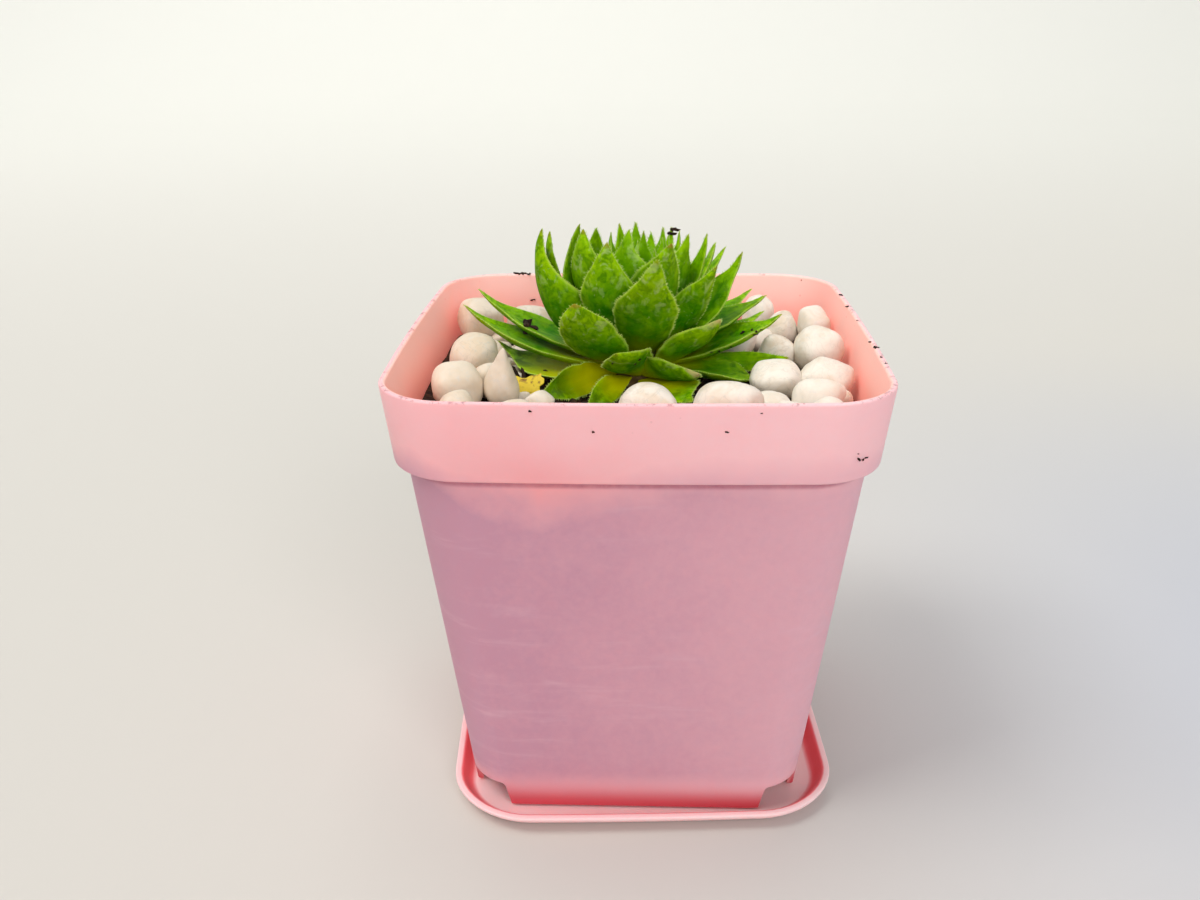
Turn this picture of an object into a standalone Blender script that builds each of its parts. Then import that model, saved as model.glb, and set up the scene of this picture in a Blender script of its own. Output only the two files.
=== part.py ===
"""A houseleek in a square plastic pot on its saucer, with white pebbles over the soil.

Metres, +Z up. The saucer's underside is at z = 0, the pot's axis is the Z axis and its
front faces -Y. Angles in the tables are in degrees: 0 points to +X, 90 to +Y.
"""

import math
from dataclasses import dataclass

import bmesh
import bpy
from mathutils import Matrix, Vector

MM = 0.001
GAP = 0.3 * MM  # air left between two pieces that touch

# The pot: a tapered square tub with a deeper collar at its mouth.
MOUTH_HALF = 45.0 * MM
POT_TOP = 94.6 * MM
COLLAR_HEIGHT = 15.3 * MM
COLLAR_FOOT_HALF = 43.5 * MM
LEDGE = 1.8 * MM
WALL = 1.2 * MM
FOOT_HALF = 33.7 * MM
FOOT_BOTTOM = 1.5 * MM
FLOOR_UNDERSIDE = 7.5 * MM
FLOOR_THICKNESS = 1.4 * MM
MOUTH_RADIUS = 12.2 * MM
FOOT_RADIUS = 10.2 * MM
MOUTH_SWELL = 1.2 * MM  # how far the middle of a side stands out beyond its ends
NOTCH_TOP = 7.1 * MM
NOTCH_IN = 25.5 * MM  # from the axis to a notch's side, at the bottom of the feet
NOTCH_SLOPE = 1.2 * MM
DRAIN_RADIUS = 3.0 * MM
DRAIN_SPREAD = 15.0 * MM

# The saucer under it, set down a little off the pot's axis and turned.
SAUCER_HALF = 39.6 * MM
SAUCER_HEIGHT = 4.0 * MM
SAUCER_FLOOR = 1.2 * MM
SAUCER_RADIUS = 16.0 * MM
SAUCER_SWELL = 0.7 * MM
SAUCER_AT = (0.4 * MM, 0.3 * MM)
SAUCER_TURN = 3.0

# What the pot holds.
SOIL_TOP = 82.0 * MM
STEM_FOOT = Vector((0.3, 1.5, 84.3)) * MM
STEM_LEAN = Vector((0.10, 0.03, 1.0))
STEM_RISE = 15.0 * MM  # from the outermost leaf's base to the innermost leaf's
ROOT_HOLE_RADIUS = 4.4 * MM
ROOT_DEPTH = 11.0 * MM

PINK = (0.79, 0.34, 0.38)
SOIL = (0.035, 0.022, 0.015)
PEBBLE = (0.80, 0.78, 0.70)
GREEN = (0.13, 0.27, 0.02)
OLD_GREEN = (0.25, 0.30, 0.03)
YOUNG_GREEN = (0.20, 0.38, 0.03)
STEM = (0.24, 0.17, 0.06)


@dataclass
class Leaf:
    """One leaf. It leaves the stem at `azimuth`, `rise` above the level, and its midrib
    turns up by `curl` and sideways by `sway` on the way to its tip, while its blade rolls
    about it by `roll`. `rank` is 0 at the heart and 1 at the foot of the stem."""

    name: str
    rank: float
    azimuth: float
    rise: float
    curl: float
    length: float
    width: float
    sway: float = 0.0
    roll: float = 0.0
    cup: float = 0.34
    point: float = 1.6  # how sharply the tip narrows: large is blunt
    colour: tuple = GREEN


@dataclass
class Pebble:
    """One pebble, by its centre and its sizes in millimetres. `turn` is about Z."""

    x: float
    y: float
    z: float
    wide: float
    deep: float
    tall: float
    turn: float = 0.0
    lean: float = 0.0


# From the oldest, lying low around the foot of the stem, to the youngest separate one.
LEAVES = [
    Leaf("leaf_01", 0.98, -109, -3, 18, 23.5, 9.5, sway=-12, roll=-15, cup=0.2, colour=OLD_GREEN),
    Leaf("leaf_02", 1.00, -66, 0, 12, 21.0, 9.5, sway=2, roll=8, cup=0.2, colour=OLD_GREEN),
    Leaf("leaf_03", 0.98, -141, -5, 4, 19.0, 7.5, sway=2, roll=-14, cup=0.22, colour=OLD_GREEN),
    Leaf("leaf_04", 0.95, -34, 11, -10, 22.0, 9.5, sway=-4, roll=8, cup=0.25),
    Leaf("leaf_05", 1.00, -172, -13, 60, 26.5, 9.0, sway=-2, roll=-10, cup=0.3, colour=OLD_GREEN),
    Leaf("leaf_06", 0.92, -67, 33, -35, 21.5, 8.5, sway=4, roll=5, cup=0.25),
    Leaf("leaf_07", 0.98, -1, 8, -3, 25.0, 9.0, sway=-2, roll=8, cup=0.25),
    Leaf("leaf_08", 0.90, -109, 44, -46, 17.0, 9.0, sway=-4, roll=-2, cup=0.25),
    Leaf("leaf_09", 0.92, 171, 2, 35, 34.5, 10.0, roll=1, cup=0.3),
    Leaf("leaf_10", 0.86, 0, 14, 18, 26.0, 11.0, roll=5, cup=0.28),
    Leaf("leaf_11", 0.82, 165, 6, 32, 33.5, 9.5, cup=0.3),
    Leaf("leaf_12", 0.93, 31, 12, 8, 27.0, 9.0, sway=-2, roll=1, cup=0.25),
    Leaf("leaf_13", 0.80, -128, 40, 9, 21.5, 13.5, sway=-26, roll=14, cup=0.25, point=3.0),
    Leaf("leaf_14", 0.82, -46, 29, 17, 22.0, 12.0, sway=-2, roll=-1, cup=0.3),
    Leaf("leaf_15", 0.76, 16, 24, 2, 25.0, 9.5, roll=4, cup=0.28),
    Leaf("leaf_16", 0.84, 40, 18, 5, 28.5, 8.5, sway=-2, cup=0.28),
    Leaf("leaf_17", 0.66, 8, 34, 32, 26.0, 9.0),
    Leaf("leaf_18", 0.70, -167, 24, 73, 32.5, 12.5, roll=30),
    Leaf("leaf_19", 0.64, 151, 32, 42, 28.5, 9.0),
    Leaf("leaf_20", 0.62, -77, 40, 49, 24.5, 13.0, roll=6),
    Leaf("leaf_21", 0.70, -42, 28, 52, 27.0, 12.5, roll=-12),
    Leaf("leaf_22", 0.68, 45, 30, 22, 27.5, 6.5, sway=-2),
    Leaf("leaf_23", 0.54, -121, 44, 49, 25.5, 13.0),
    Leaf("leaf_24", 0.56, 172, 40, 60, 27.5, 10.0, sway=-2, roll=-3),
    Leaf("leaf_25", 0.56, 31, 40, 26, 23.5, 6.5),
    Leaf("leaf_26", 0.50, -2, 50, 33, 24.0, 8.0, roll=6),
    Leaf("leaf_27", 0.46, -161, 48, 40, 25.0, 9.5, roll=9),
    Leaf("leaf_28", 0.46, -60, 52, 35, 22.0, 10.0, roll=-4),
    Leaf("leaf_29", 0.48, 140, 50, 34, 23.0, 7.0),
    Leaf("leaf_30", 0.38, -17, 58, 27, 21.0, 9.0, roll=-10),
    Leaf("leaf_31", 0.38, 117, 56, 21, 21.5, 8.0, roll=5),
    Leaf("leaf_32", 0.36, -120, 64, 34, 22.0, 10.5),
]

# The unopened heart: its leaves still hold together at their feet.
HEART = [
    Leaf("heart_1", 0.30, 27, 64, 17, 19.0, 6.0, roll=-8),
    Leaf("heart_2", 0.30, 167, 66, 20, 19.0, 6.0, roll=-5),
    Leaf("heart_3", 0.28, 58, 54, 20, 19.5, 6.5, roll=-10),
    Leaf("heart_4", 0.26, 105, 64, 20, 19.5, 7.0, roll=10),
    Leaf("heart_5", 0.22, 51, 68, 18, 18.0, 7.0, roll=-8),
    Leaf("heart_6", 0.16, 79, 66, 14, 16.0, 6.5),
    Leaf("heart_7", 0.18, 107, 82, 20, 17.0, 5.5, roll=8),
    Leaf("heart_8", 0.14, 0, 68, 20, 16.0, 5.0),
    Leaf("heart_9", 0.10, -160, 82, 12, 14.0, 4.0),
    Leaf("heart_10", 0.07, 40, 72, 8, 14.0, 4.0),
    Leaf("heart_11", 0.03, -60, 75, 6, 12.0, 3.0),
]

# Back left, round the left wall, along the front wall, up the right wall, then inside.
PEBBLES = [
    Pebble(-36.6, 31.5, 87.1, 10.4, 9.0, 9.6, 20),
    Pebble(-33.9, 2.5, 87.3, 9.8, 9.2, 9.2, 70),
    Pebble(-34.8, -14.5, 86.8, 9.4, 8.8, 8.8, -25),
    Pebble(-29.2, -8.0, 85.8, 6.0, 6.0, 6.8, 10),
    Pebble(-26.4, -13.5, 87.6, 6.4, 6.0, 10.2, 0, 8),
    Pebble(-32.7, -29.5, 86.5, 7.0, 6.4, 8.2, 30),
    Pebble(-21.2, -33.0, 86.4, 8.6, 7.0, 7.8, -10),
    Pebble(-24.5, 29.0, 86.6, 10.2, 8.6, 7.8, -15),
    Pebble(2.2, -29.0, 86.6, 10.6, 9.4, 8.4, 5),
    Pebble(16.6, -28.5, 86.7, 12.4, 9.6, 8.6, -8),
    Pebble(25.2, -21.5, 86.2, 7.6, 7.0, 7.2, 40),
    Pebble(27.6, -8.5, 86.8, 9.6, 9.0, 8.6, 15),
    Pebble(27.8, -30.0, 85.7, 5.6, 5.6, 6.6, 0),
    Pebble(34.6, -29.0, 86.1, 7.2, 6.6, 7.2, 20),
    Pebble(34.6, -18.6, 86.2, 9.8, 8.4, 7.4, -12),
    Pebble(37.5, -7.4, 86.7, 10.4, 9.0, 8.8, 8),
    Pebble(38.2, 6.5, 87.4, 10.2, 9.2, 9.8, -5),
    Pebble(39.4, 25.0, 87.0, 7.0, 7.4, 9.2, 0),
    Pebble(29.4, 8.5, 86.4, 7.0, 8.0, 8.2, 30),
    Pebble(22.0, 17.5, 86.2, 8.0, 7.6, 7.6, -30),
    Pebble(32.7, 27.0, 86.3, 6.4, 7.6, 7.8, 10),
    Pebble(28.2, 36.5, 86.9, 7.0, 7.4, 8.8, 0),
    Pebble(13.5, 33.5, 86.2, 8.2, 8.0, 7.6, 50),
]


def clear_scene():
    for obj in list(bpy.data.objects):
        bpy.data.objects.remove(obj, do_unlink=True)


def new_collection(name, parent, hidden=False):
    collection = bpy.data.collections.new(name)
    parent.children.link(collection)
    collection.hide_render = hidden
    return collection


def new_material(name, colour, roughness):
    material = bpy.data.materials.new(name)
    material.use_nodes = True
    material.diffuse_color = (*colour, 1.0)
    shader = material.node_tree.nodes["Principled BSDF"]
    shader.inputs["Base Color"].default_value = (*colour, 1.0)
    shader.inputs["Roughness"].default_value = roughness
    shader.inputs["Metallic"].default_value = 0.0
    return material


def finish(name, mesh, collection, material=None):
    """Turns a bmesh into a named object with its own material."""
    bmesh.ops.recalc_face_normals(mesh, faces=mesh.faces)
    data = bpy.data.meshes.new(name)
    mesh.to_mesh(data)
    mesh.free()
    obj = bpy.data.objects.new(name, data)
    collection.objects.link(obj)
    if material:
        data.materials.append(material)
    return obj


def make_cutter(obj):
    obj.hide_render = True
    obj.display_type = "WIRE"


def cut(obj, cutters):
    modifier = obj.modifiers.new("cut", "BOOLEAN")
    modifier.operand_type = "COLLECTION"
    modifier.collection = cutters
    modifier.operation = "DIFFERENCE"
    modifier.solver = "EXACT"


def rounded_square(half, radius, swell):
    """The outline of a square with round corners, whose sides stand out by `swell`."""
    points = []
    for quarter in range(4):
        turn = Matrix.Rotation(quarter * math.pi / 2, 2)
        for step in range(5):
            angle = step * math.pi / 8
            corner = Vector((half - radius, half - radius))
            points.append(turn @ (corner + radius * Vector((math.cos(angle), math.sin(angle)))))
        for share in (0.5, 0.0, -0.5):
            points.append(turn @ Vector((share * (half - radius), half)))
    out = []
    for x, y in points:
        along, across = abs(x) / half, abs(y) / half
        out.append(
            (
                x + math.copysign(swell * along**6 * (1 - across**2), x),
                y + math.copysign(swell * across**6 * (1 - along**2), y),
            )
        )
    return out


def loft(name, rings, collection, material=None):
    """A closed skin through rounded squares (half, radius, swell, z), capped at both ends."""
    mesh = bmesh.new()
    loops = [
        [mesh.verts.new((x, y, z)) for x, y in rounded_square(half, radius, swell)]
        for half, radius, swell, z in rings
    ]
    for low, high in zip(loops, loops[1:]):
        for i in range(len(low)):
            j = (i + 1) % len(low)
            mesh.faces.new((low[i], low[j], high[j], high[i]))
    mesh.faces.new(loops[0])
    mesh.faces.new(reversed(loops[-1]))
    return finish(name, mesh, collection, material)


def body_half(z):
    """Half the body's outside width at height z, below the collar."""
    top = POT_TOP - COLLAR_HEIGHT
    share = (z - FOOT_BOTTOM) / (top - FOOT_BOTTOM)
    return FOOT_HALF + share * (COLLAR_FOOT_HALF - LEDGE - FOOT_HALF)


def collar_half(z):
    """Half the collar's outside width at height z."""
    share = (POT_TOP - z) / COLLAR_HEIGHT
    return MOUTH_HALF + share * (COLLAR_FOOT_HALF - MOUTH_HALF)


def pot_ring(outside, inset, z):
    """A ring of the pot's own shape, `inset` inside the outside face at that height."""
    share = (z - FOOT_BOTTOM) / (POT_TOP - FOOT_BOTTOM)
    radius = FOOT_RADIUS + share * (MOUTH_RADIUS - FOOT_RADIUS)
    return outside - inset, radius - inset, MOUTH_SWELL * share, z


def build_pot(collection, cutters):
    ledge = POT_TOP - COLLAR_HEIGHT
    floor = FLOOR_UNDERSIDE + FLOOR_THICKNESS
    step = ledge + WALL
    soft = 0.35 * MM
    rings = [
        pot_ring(body_half(FLOOR_UNDERSIDE), WALL, FLOOR_UNDERSIDE),
        pot_ring(FOOT_HALF, WALL, FOOT_BOTTOM),
        pot_ring(FOOT_HALF, 0, FOOT_BOTTOM),
        pot_ring(body_half(ledge), 0, ledge),
        pot_ring(COLLAR_FOOT_HALF, 0.2 * MM, ledge),
        pot_ring(COLLAR_FOOT_HALF, 0, ledge + 0.3 * MM),
        pot_ring(collar_half(POT_TOP - soft), 0, POT_TOP - soft),
        pot_ring(MOUTH_HALF, soft, POT_TOP),
        pot_ring(MOUTH_HALF, WALL - 0.1 * MM, POT_TOP),
        pot_ring(collar_half(POT_TOP - soft), WALL, POT_TOP - soft),
        pot_ring(collar_half(step + 0.5 * MM), WALL, step + 0.5 * MM),
        pot_ring(body_half(ledge), WALL, step),
        pot_ring(body_half(floor), WALL, floor),
    ]
    pot = loft("pot", rings, collection, new_material("pot_pink", PINK, 0.45))
    reach = 12.0 * MM
    for turn in range(4):
        corner = Matrix.Rotation(turn * math.pi / 2, 3, "Z") @ Vector(
            (NOTCH_IN + reach, NOTCH_IN + reach, (NOTCH_TOP + FOOT_BOTTOM) / 2)
        )
        bpy.ops.mesh.primitive_cone_add(
            vertices=4,
            radius1=(reach + NOTCH_SLOPE / 2) * math.sqrt(2),
            radius2=(reach - NOTCH_SLOPE) * math.sqrt(2),
            depth=NOTCH_TOP - FOOT_BOTTOM + 2 * MM,
            location=corner - Vector((0, 0, MM)),
            rotation=(0, 0, math.pi / 4),
        )
        take_active(f"corner_notch_{turn + 1}", cutters)
        bpy.ops.mesh.primitive_cylinder_add(
            vertices=16,
            radius=DRAIN_RADIUS,
            depth=6 * MM,
            location=Matrix.Rotation(turn * math.pi / 2, 3, "Z")
            @ Vector((DRAIN_SPREAD, DRAIN_SPREAD, FLOOR_UNDERSIDE)),
        )
        take_active(f"drain_hole_{turn + 1}", cutters)
    cut(pot, cutters)
    return pot


def take_active(name, collection):
    """Moves the object just added into a collection of cutters."""
    obj = bpy.context.active_object
    obj.name = name
    for other in list(obj.users_collection):
        other.objects.unlink(obj)
    collection.objects.link(obj)
    make_cutter(obj)
    return obj


def build_saucer(collection):
    half, top = SAUCER_HALF, SAUCER_HEIGHT
    profile = [
        (half - 3.6 * MM, 0.0),
        (half - 3.1 * MM, 0.3 * MM),
        (half - 0.3 * MM, top - 0.9 * MM),
        (half, top - 0.5 * MM),
        (half - 0.2 * MM, top),
        (half - 1.6 * MM, top),
        (half - 2.4 * MM, SAUCER_FLOOR + 0.8 * MM),
        (half - 3.0 * MM, SAUCER_FLOOR + 0.4 * MM),
        (half - 3.3 * MM, SAUCER_FLOOR),
    ]
    rings = [(at, SAUCER_RADIUS + at - half, SAUCER_SWELL, z) for at, z in profile]
    saucer = loft("saucer", rings, collection, new_material("saucer_pink", PINK, 0.4))
    saucer.location = (*SAUCER_AT, 0)
    saucer.rotation_euler = (0, 0, math.radians(SAUCER_TURN))
    return saucer


def stem_frame():
    """Turns the Z axis to the way the stem leans, with its origin at the stem's foot."""
    turn = Vector((0, 0, 1)).rotation_difference(STEM_LEAN.normalized())
    return Matrix.Translation(STEM_FOOT) @ turn.to_matrix().to_4x4()


def build_soil(collection, cutters):
    floor = FLOOR_UNDERSIDE + FLOOR_THICKNESS + GAP
    ledge = POT_TOP - COLLAR_HEIGHT
    inset = WALL + GAP
    rings = [
        pot_ring(body_half(floor), inset, floor),
        pot_ring(body_half(ledge), inset, ledge + WALL),
        pot_ring(collar_half(SOIL_TOP), inset + GAP, SOIL_TOP - GAP),
        pot_ring(collar_half(SOIL_TOP), inset + 2 * MM, SOIL_TOP),
    ]
    soil = loft("soil", rings, collection, new_material("soil_dark", SOIL, 0.95))
    bpy.ops.mesh.primitive_cylinder_add(vertices=16, radius=ROOT_HOLE_RADIUS, depth=2 * ROOT_DEPTH)
    hole = take_active("root_hole", cutters)
    hole.matrix_world = stem_frame() @ Matrix.Translation((0, 0, SOIL_TOP - STEM_FOOT.z))
    cut(soil, cutters)
    return soil


def build_stem(collection):
    """A short stem, thickest where the lowest leaves join it, on a tapering root."""
    below = SOIL_TOP - STEM_FOOT.z
    profile = [
        (0.0, below - ROOT_DEPTH + MM),
        (1.4 * MM, below - ROOT_DEPTH + MM),
        (3.2 * MM, below - 5 * MM),
        (3.9 * MM, below),
        (4.3 * MM, 0.0),
        (3.6 * MM, 0.25 * STEM_RISE),
        (2.6 * MM, 0.45 * STEM_RISE),
        (1.5 * MM, 0.62 * STEM_RISE),
        (0.0, 0.64 * STEM_RISE),
    ]
    mesh = bmesh.new()
    points = [mesh.verts.new((radius, 0, z)) for radius, z in profile]
    edges = [mesh.edges.new(pair) for pair in zip(points, points[1:])]
    bmesh.ops.spin(
        mesh,
        geom=points + edges,
        cent=(0, 0, 0),
        axis=(0, 0, 1),
        angle=2 * math.pi,
        steps=14,
        use_merge=True,
    )
    bmesh.ops.remove_doubles(mesh, verts=mesh.verts, dist=1e-6)
    stem = finish("stem", mesh, collection, new_material("stem_bark", STEM, 0.8))
    stem.matrix_world = stem_frame()
    return stem


def leaf_base(leaf):
    """Where the leaf joins the stem."""
    up = STEM_RISE * (1 - leaf.rank)
    out = (0.6 + 5.2 * leaf.rank**0.8) * MM
    angle = math.radians(leaf.azimuth)
    centre = STEM_FOOT + STEM_LEAN * up
    return centre + out * Vector((math.cos(angle), math.sin(angle), 0))


def leaf_width(leaf, s):
    """The width at share s of the length: narrow at the base, widest past the middle."""
    if s < 0.52:
        share = 0.38 + 0.62 * math.sin(math.pi / 2 * s / 0.52)
    else:
        share = 1 - ((s - 0.52) / 0.48) ** leaf.point
    return leaf.width * MM * share


def leaf_thickness(leaf, s):
    thickest = (1.0 + 1.0 * min(1.0, 2.5 * leaf.rank)) * MM
    if s < 0.5:
        return thickest * (0.6 + 0.4 * math.sin(math.pi * s))
    return thickest * (1 - 0.8 * (2 * s - 1) ** 1.5)


def leaf_frames(leaf, shares):
    """The midrib's (point, sideways, upper normal) at each share of the length."""
    steps = 40
    point = leaf_base(leaf)
    frames = []
    done = 0
    for s in shares:
        while done < round(s * steps):
            middle = (done + 0.5) / steps
            point = point + leaf_heading(leaf, middle)[0] * (leaf.length * MM / steps)
            done += 1
        _, side, normal = leaf_heading(leaf, s)
        frames.append((point.copy(), side, normal))
    return frames


def leaf_heading(leaf, s):
    """The midrib's direction, the sideways direction and the upper face's normal."""
    rise = math.radians(leaf.rise + leaf.curl * s)
    azimuth = math.radians(leaf.azimuth + leaf.sway * s)
    out = Vector((math.cos(azimuth), math.sin(azimuth), 0))
    side = Vector((-math.sin(azimuth), math.cos(azimuth), 0))
    up = Vector((0, 0, 1))
    along = math.cos(rise) * out + math.sin(rise) * up
    normal = math.cos(rise) * up - math.sin(rise) * out
    turn = Matrix.Rotation(math.radians(leaf.roll * min(1.0, 2.5 * s)), 3, along)
    return along, turn @ side, turn @ normal


def add_leaf(mesh, leaf):
    """Adds a leaf: a cupped blade, thick in the middle and thin at its edges."""
    shares = (0, 0.1, 0.25, 0.425, 0.575, 0.725, 0.85, 0.925, 1)
    across = (-1, -0.55, 0, 0.55, 1, 0.55, 0, -0.55)
    loops = []
    frames = leaf_frames(leaf, shares)
    for s, (point, side, normal) in zip(shares[:-1], frames):
        half = leaf_width(leaf, s) / 2
        thick = leaf_thickness(leaf, s) / 2
        loop = []
        for i, u in enumerate(across):
            lift = leaf.cup * half * u * u
            swell = thick * (1 - u * u) ** 0.5
            lift += swell if 4 < i else -swell
            loop.append(mesh.verts.new(point + side * (half * u) + normal * lift))
        loops.append(loop)
    tip = mesh.verts.new(frames[-1][0])
    for low, high in zip(loops, loops[1:]):
        for i in range(len(low)):
            j = (i + 1) % len(low)
            mesh.faces.new((low[i], low[j], high[j], high[i]))
    last = loops[-1]
    for i in range(len(last)):
        mesh.faces.new((last[i], last[(i + 1) % len(last)], tip))
    mesh.faces.new(loops[0])


def build_leaf(leaf, collection):
    mesh = bmesh.new()
    add_leaf(mesh, leaf)
    material = new_material(f"{leaf.name}_green", leaf.colour, 0.45)
    return finish(leaf.name, mesh, collection, material)


def build_heart(collection, pieces):
    """The heart: small leaves round a core, made one by a union."""
    mesh = bmesh.new()
    bmesh.ops.create_cone(
        mesh,
        cap_ends=True,
        segments=8,
        radius1=2.5 * MM,
        radius2=1.0 * MM,
        depth=0.4 * STEM_RISE,
    )
    heart = finish("heart", mesh, collection, new_material("heart_green", YOUNG_GREEN, 0.45))
    heart.matrix_world = stem_frame() @ Matrix.Translation((0, 0, 0.85 * STEM_RISE))
    for leaf in HEART:
        make_cutter(build_leaf(leaf, pieces))
    modifier = heart.modifiers.new("join", "BOOLEAN")
    modifier.operand_type = "COLLECTION"
    modifier.collection = pieces
    modifier.operation = "UNION"
    modifier.solver = "EXACT"
    return heart


def build_pebble(name, pebble, collection):
    """A river pebble: an ellipsoid with flattened sides."""
    mesh = bmesh.new()
    bmesh.ops.create_icosphere(mesh, subdivisions=2, radius=1.0)
    size = Vector((pebble.wide, pebble.deep, pebble.tall)) * (MM / 2)
    phase = pebble.x * 1.7 + pebble.y
    for vert in mesh.verts:
        x, y, z = vert.co
        bump = 1 - 0.06 * math.sin(2.3 * x + phase) * math.sin(2.1 * y + 2 * phase)
        square = (abs(x) ** 2.6 + abs(y) ** 2.6 + abs(z) ** 2.6) ** (-1 / 2.6)
        vert.co = Vector((x * size.x, y * size.y, z * size.z)) * min(1.0, bump) * square
    obj = finish(name, mesh, collection, new_material(f"{name}_white", PEBBLE, 0.35))
    obj.location = Vector((pebble.x, pebble.y, pebble.z)) * MM
    obj.rotation_euler = (0, math.radians(pebble.lean), math.radians(pebble.turn))
    return obj


def main():
    clear_scene()
    scene = bpy.context.scene
    scene.unit_settings.scale_length = 1.0
    whole = new_collection("potted_houseleek", scene.collection)
    pot_cutters = new_collection("pot_cutters", scene.collection, hidden=True)
    soil_cutters = new_collection("soil_cutters", scene.collection, hidden=True)
    heart_pieces = new_collection("heart_pieces", scene.collection, hidden=True)
    build_pot(whole, pot_cutters)
    build_saucer(whole)
    build_soil(whole, soil_cutters)
    build_stem(whole)
    for leaf in LEAVES:
        build_leaf(leaf, whole)
    build_heart(whole, heart_pieces)
    for number, pebble in enumerate(PEBBLES, 1):
        build_pebble(f"pebble_{number:02d}", pebble, whole)


main()
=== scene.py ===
"""Finished looks of a potted houseleek: a fleshy green rosette among white pebbles, in a
square pink plastic pot that stands on its saucer.

Metres, +Z up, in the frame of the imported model. The pot's front faces -Y. Sizes in the
dataclasses are in millimetres and angles in degrees, measured from +X towards +Y.
"""

import logging
import math
from contextlib import contextmanager
from dataclasses import dataclass, field
from enum import Enum
from functools import partialmethod
from typing import Any, Iterator, Sequence

import bpy
import numpy as np
from mathutils import Matrix, Vector


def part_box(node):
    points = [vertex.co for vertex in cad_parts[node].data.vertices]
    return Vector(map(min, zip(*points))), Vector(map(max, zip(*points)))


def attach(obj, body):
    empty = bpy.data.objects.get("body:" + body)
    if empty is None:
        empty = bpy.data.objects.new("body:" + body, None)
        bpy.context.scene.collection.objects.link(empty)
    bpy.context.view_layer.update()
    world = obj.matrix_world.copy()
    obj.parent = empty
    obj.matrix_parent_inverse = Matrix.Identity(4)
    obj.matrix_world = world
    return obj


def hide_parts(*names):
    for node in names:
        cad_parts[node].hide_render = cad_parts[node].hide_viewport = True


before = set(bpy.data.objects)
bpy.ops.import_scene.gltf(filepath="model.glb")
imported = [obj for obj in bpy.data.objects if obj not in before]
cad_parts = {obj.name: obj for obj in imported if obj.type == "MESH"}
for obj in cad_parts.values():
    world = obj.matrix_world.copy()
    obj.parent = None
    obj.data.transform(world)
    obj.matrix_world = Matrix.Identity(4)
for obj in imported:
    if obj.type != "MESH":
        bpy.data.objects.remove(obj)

MM = 0.001
BODY = "root"
log = logging.getLogger("houseleek")


class Seed:
    """Where each kind of piece starts its random draws."""

    STEM = 3
    CRUMBS = 5
    SPECKS = 9
    GAPS = 12
    PEBBLES = 40
    HEART = 60
    SCRAPS = 70
    SMALL_STONES = 90
    LEAVES_BEHIND = 120
    HAIRS = 500


Colour = tuple[float, float, float]
Triple = tuple[float, float, float]
BLACK: Colour = (0.0, 0.0, 0.0)


def paint(red: int, green: int, blue: int) -> Colour:
    """Turns a colour as a screen shows it, 0 to 255, into the linear values that shaders use."""
    shares = [channel / 255 for channel in (red, green, blue)]
    return tuple(c / 12.92 if c <= 0.04045 else ((c + 0.055) / 1.055) ** 2.4 for c in shares)


def ease(low: float, high: float, value: Any) -> Any:
    """The height of a smooth step from 0 at low to 1 at high, for a number or an array."""
    share = np.clip((value - low) / (high - low), 0, 1)
    return share * share * (3 - 2 * share)


# ---------------------------------------------------------------- shader bench


class Wire:
    """One output in a material's node tree, on which Python's operators add Math nodes."""

    def __init__(self, bench: "ShaderBench", socket: bpy.types.NodeSocket) -> None:
        """Keeps an output with the bench that lays out its material."""
        self.bench = bench
        self.socket = socket

    def math(self, operation: str, *others: Any, swap: bool = False, clamp: bool = False) -> "Wire":
        """Adds a Math node that reads this output.

        Args:
            operation: The node's operation.
            others: The other operands, numbers or wires.
            swap: True if this output is the second operand.
            clamp: True to keep the result between 0 and 1.

        Returns:
            The result.
        """
        values = [*others, self] if swap else [self, *others]
        settings = {"operation": operation, "use_clamp": clamp}
        made = self.bench.node("ShaderNodeMath", settings, dict(enumerate(values)))
        return Wire(self.bench, made.outputs[0])

    __add__ = __radd__ = partialmethod(math, "ADD")
    __mul__ = __rmul__ = partialmethod(math, "MULTIPLY")
    __sub__ = partialmethod(math, "SUBTRACT")
    __rsub__ = partialmethod(math, "SUBTRACT", swap=True)
    __truediv__ = partialmethod(math, "DIVIDE")
    __abs__ = partialmethod(math, "ABSOLUTE")
    clamped = partialmethod(math, "ADD", 0.0, clamp=True)

    def step(self, low: float, high: float) -> "Wire":
        """A smooth step of this value.

        Args:
            low: The value that gives 0.
            high: The value that gives 1. It may be the lower of the two.

        Returns:
            The step, 0 to 1.
        """
        settings = {"interpolation_type": "SMOOTHSTEP"}
        turned = low > high
        ends = {"From Min": min(low, high), "From Max": max(low, high)}
        made = self.bench.node("ShaderNodeMapRange", settings, {"Value": self, **ends})
        result = Wire(self.bench, made.outputs["Result"])
        return 1 - result if turned else result


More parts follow.
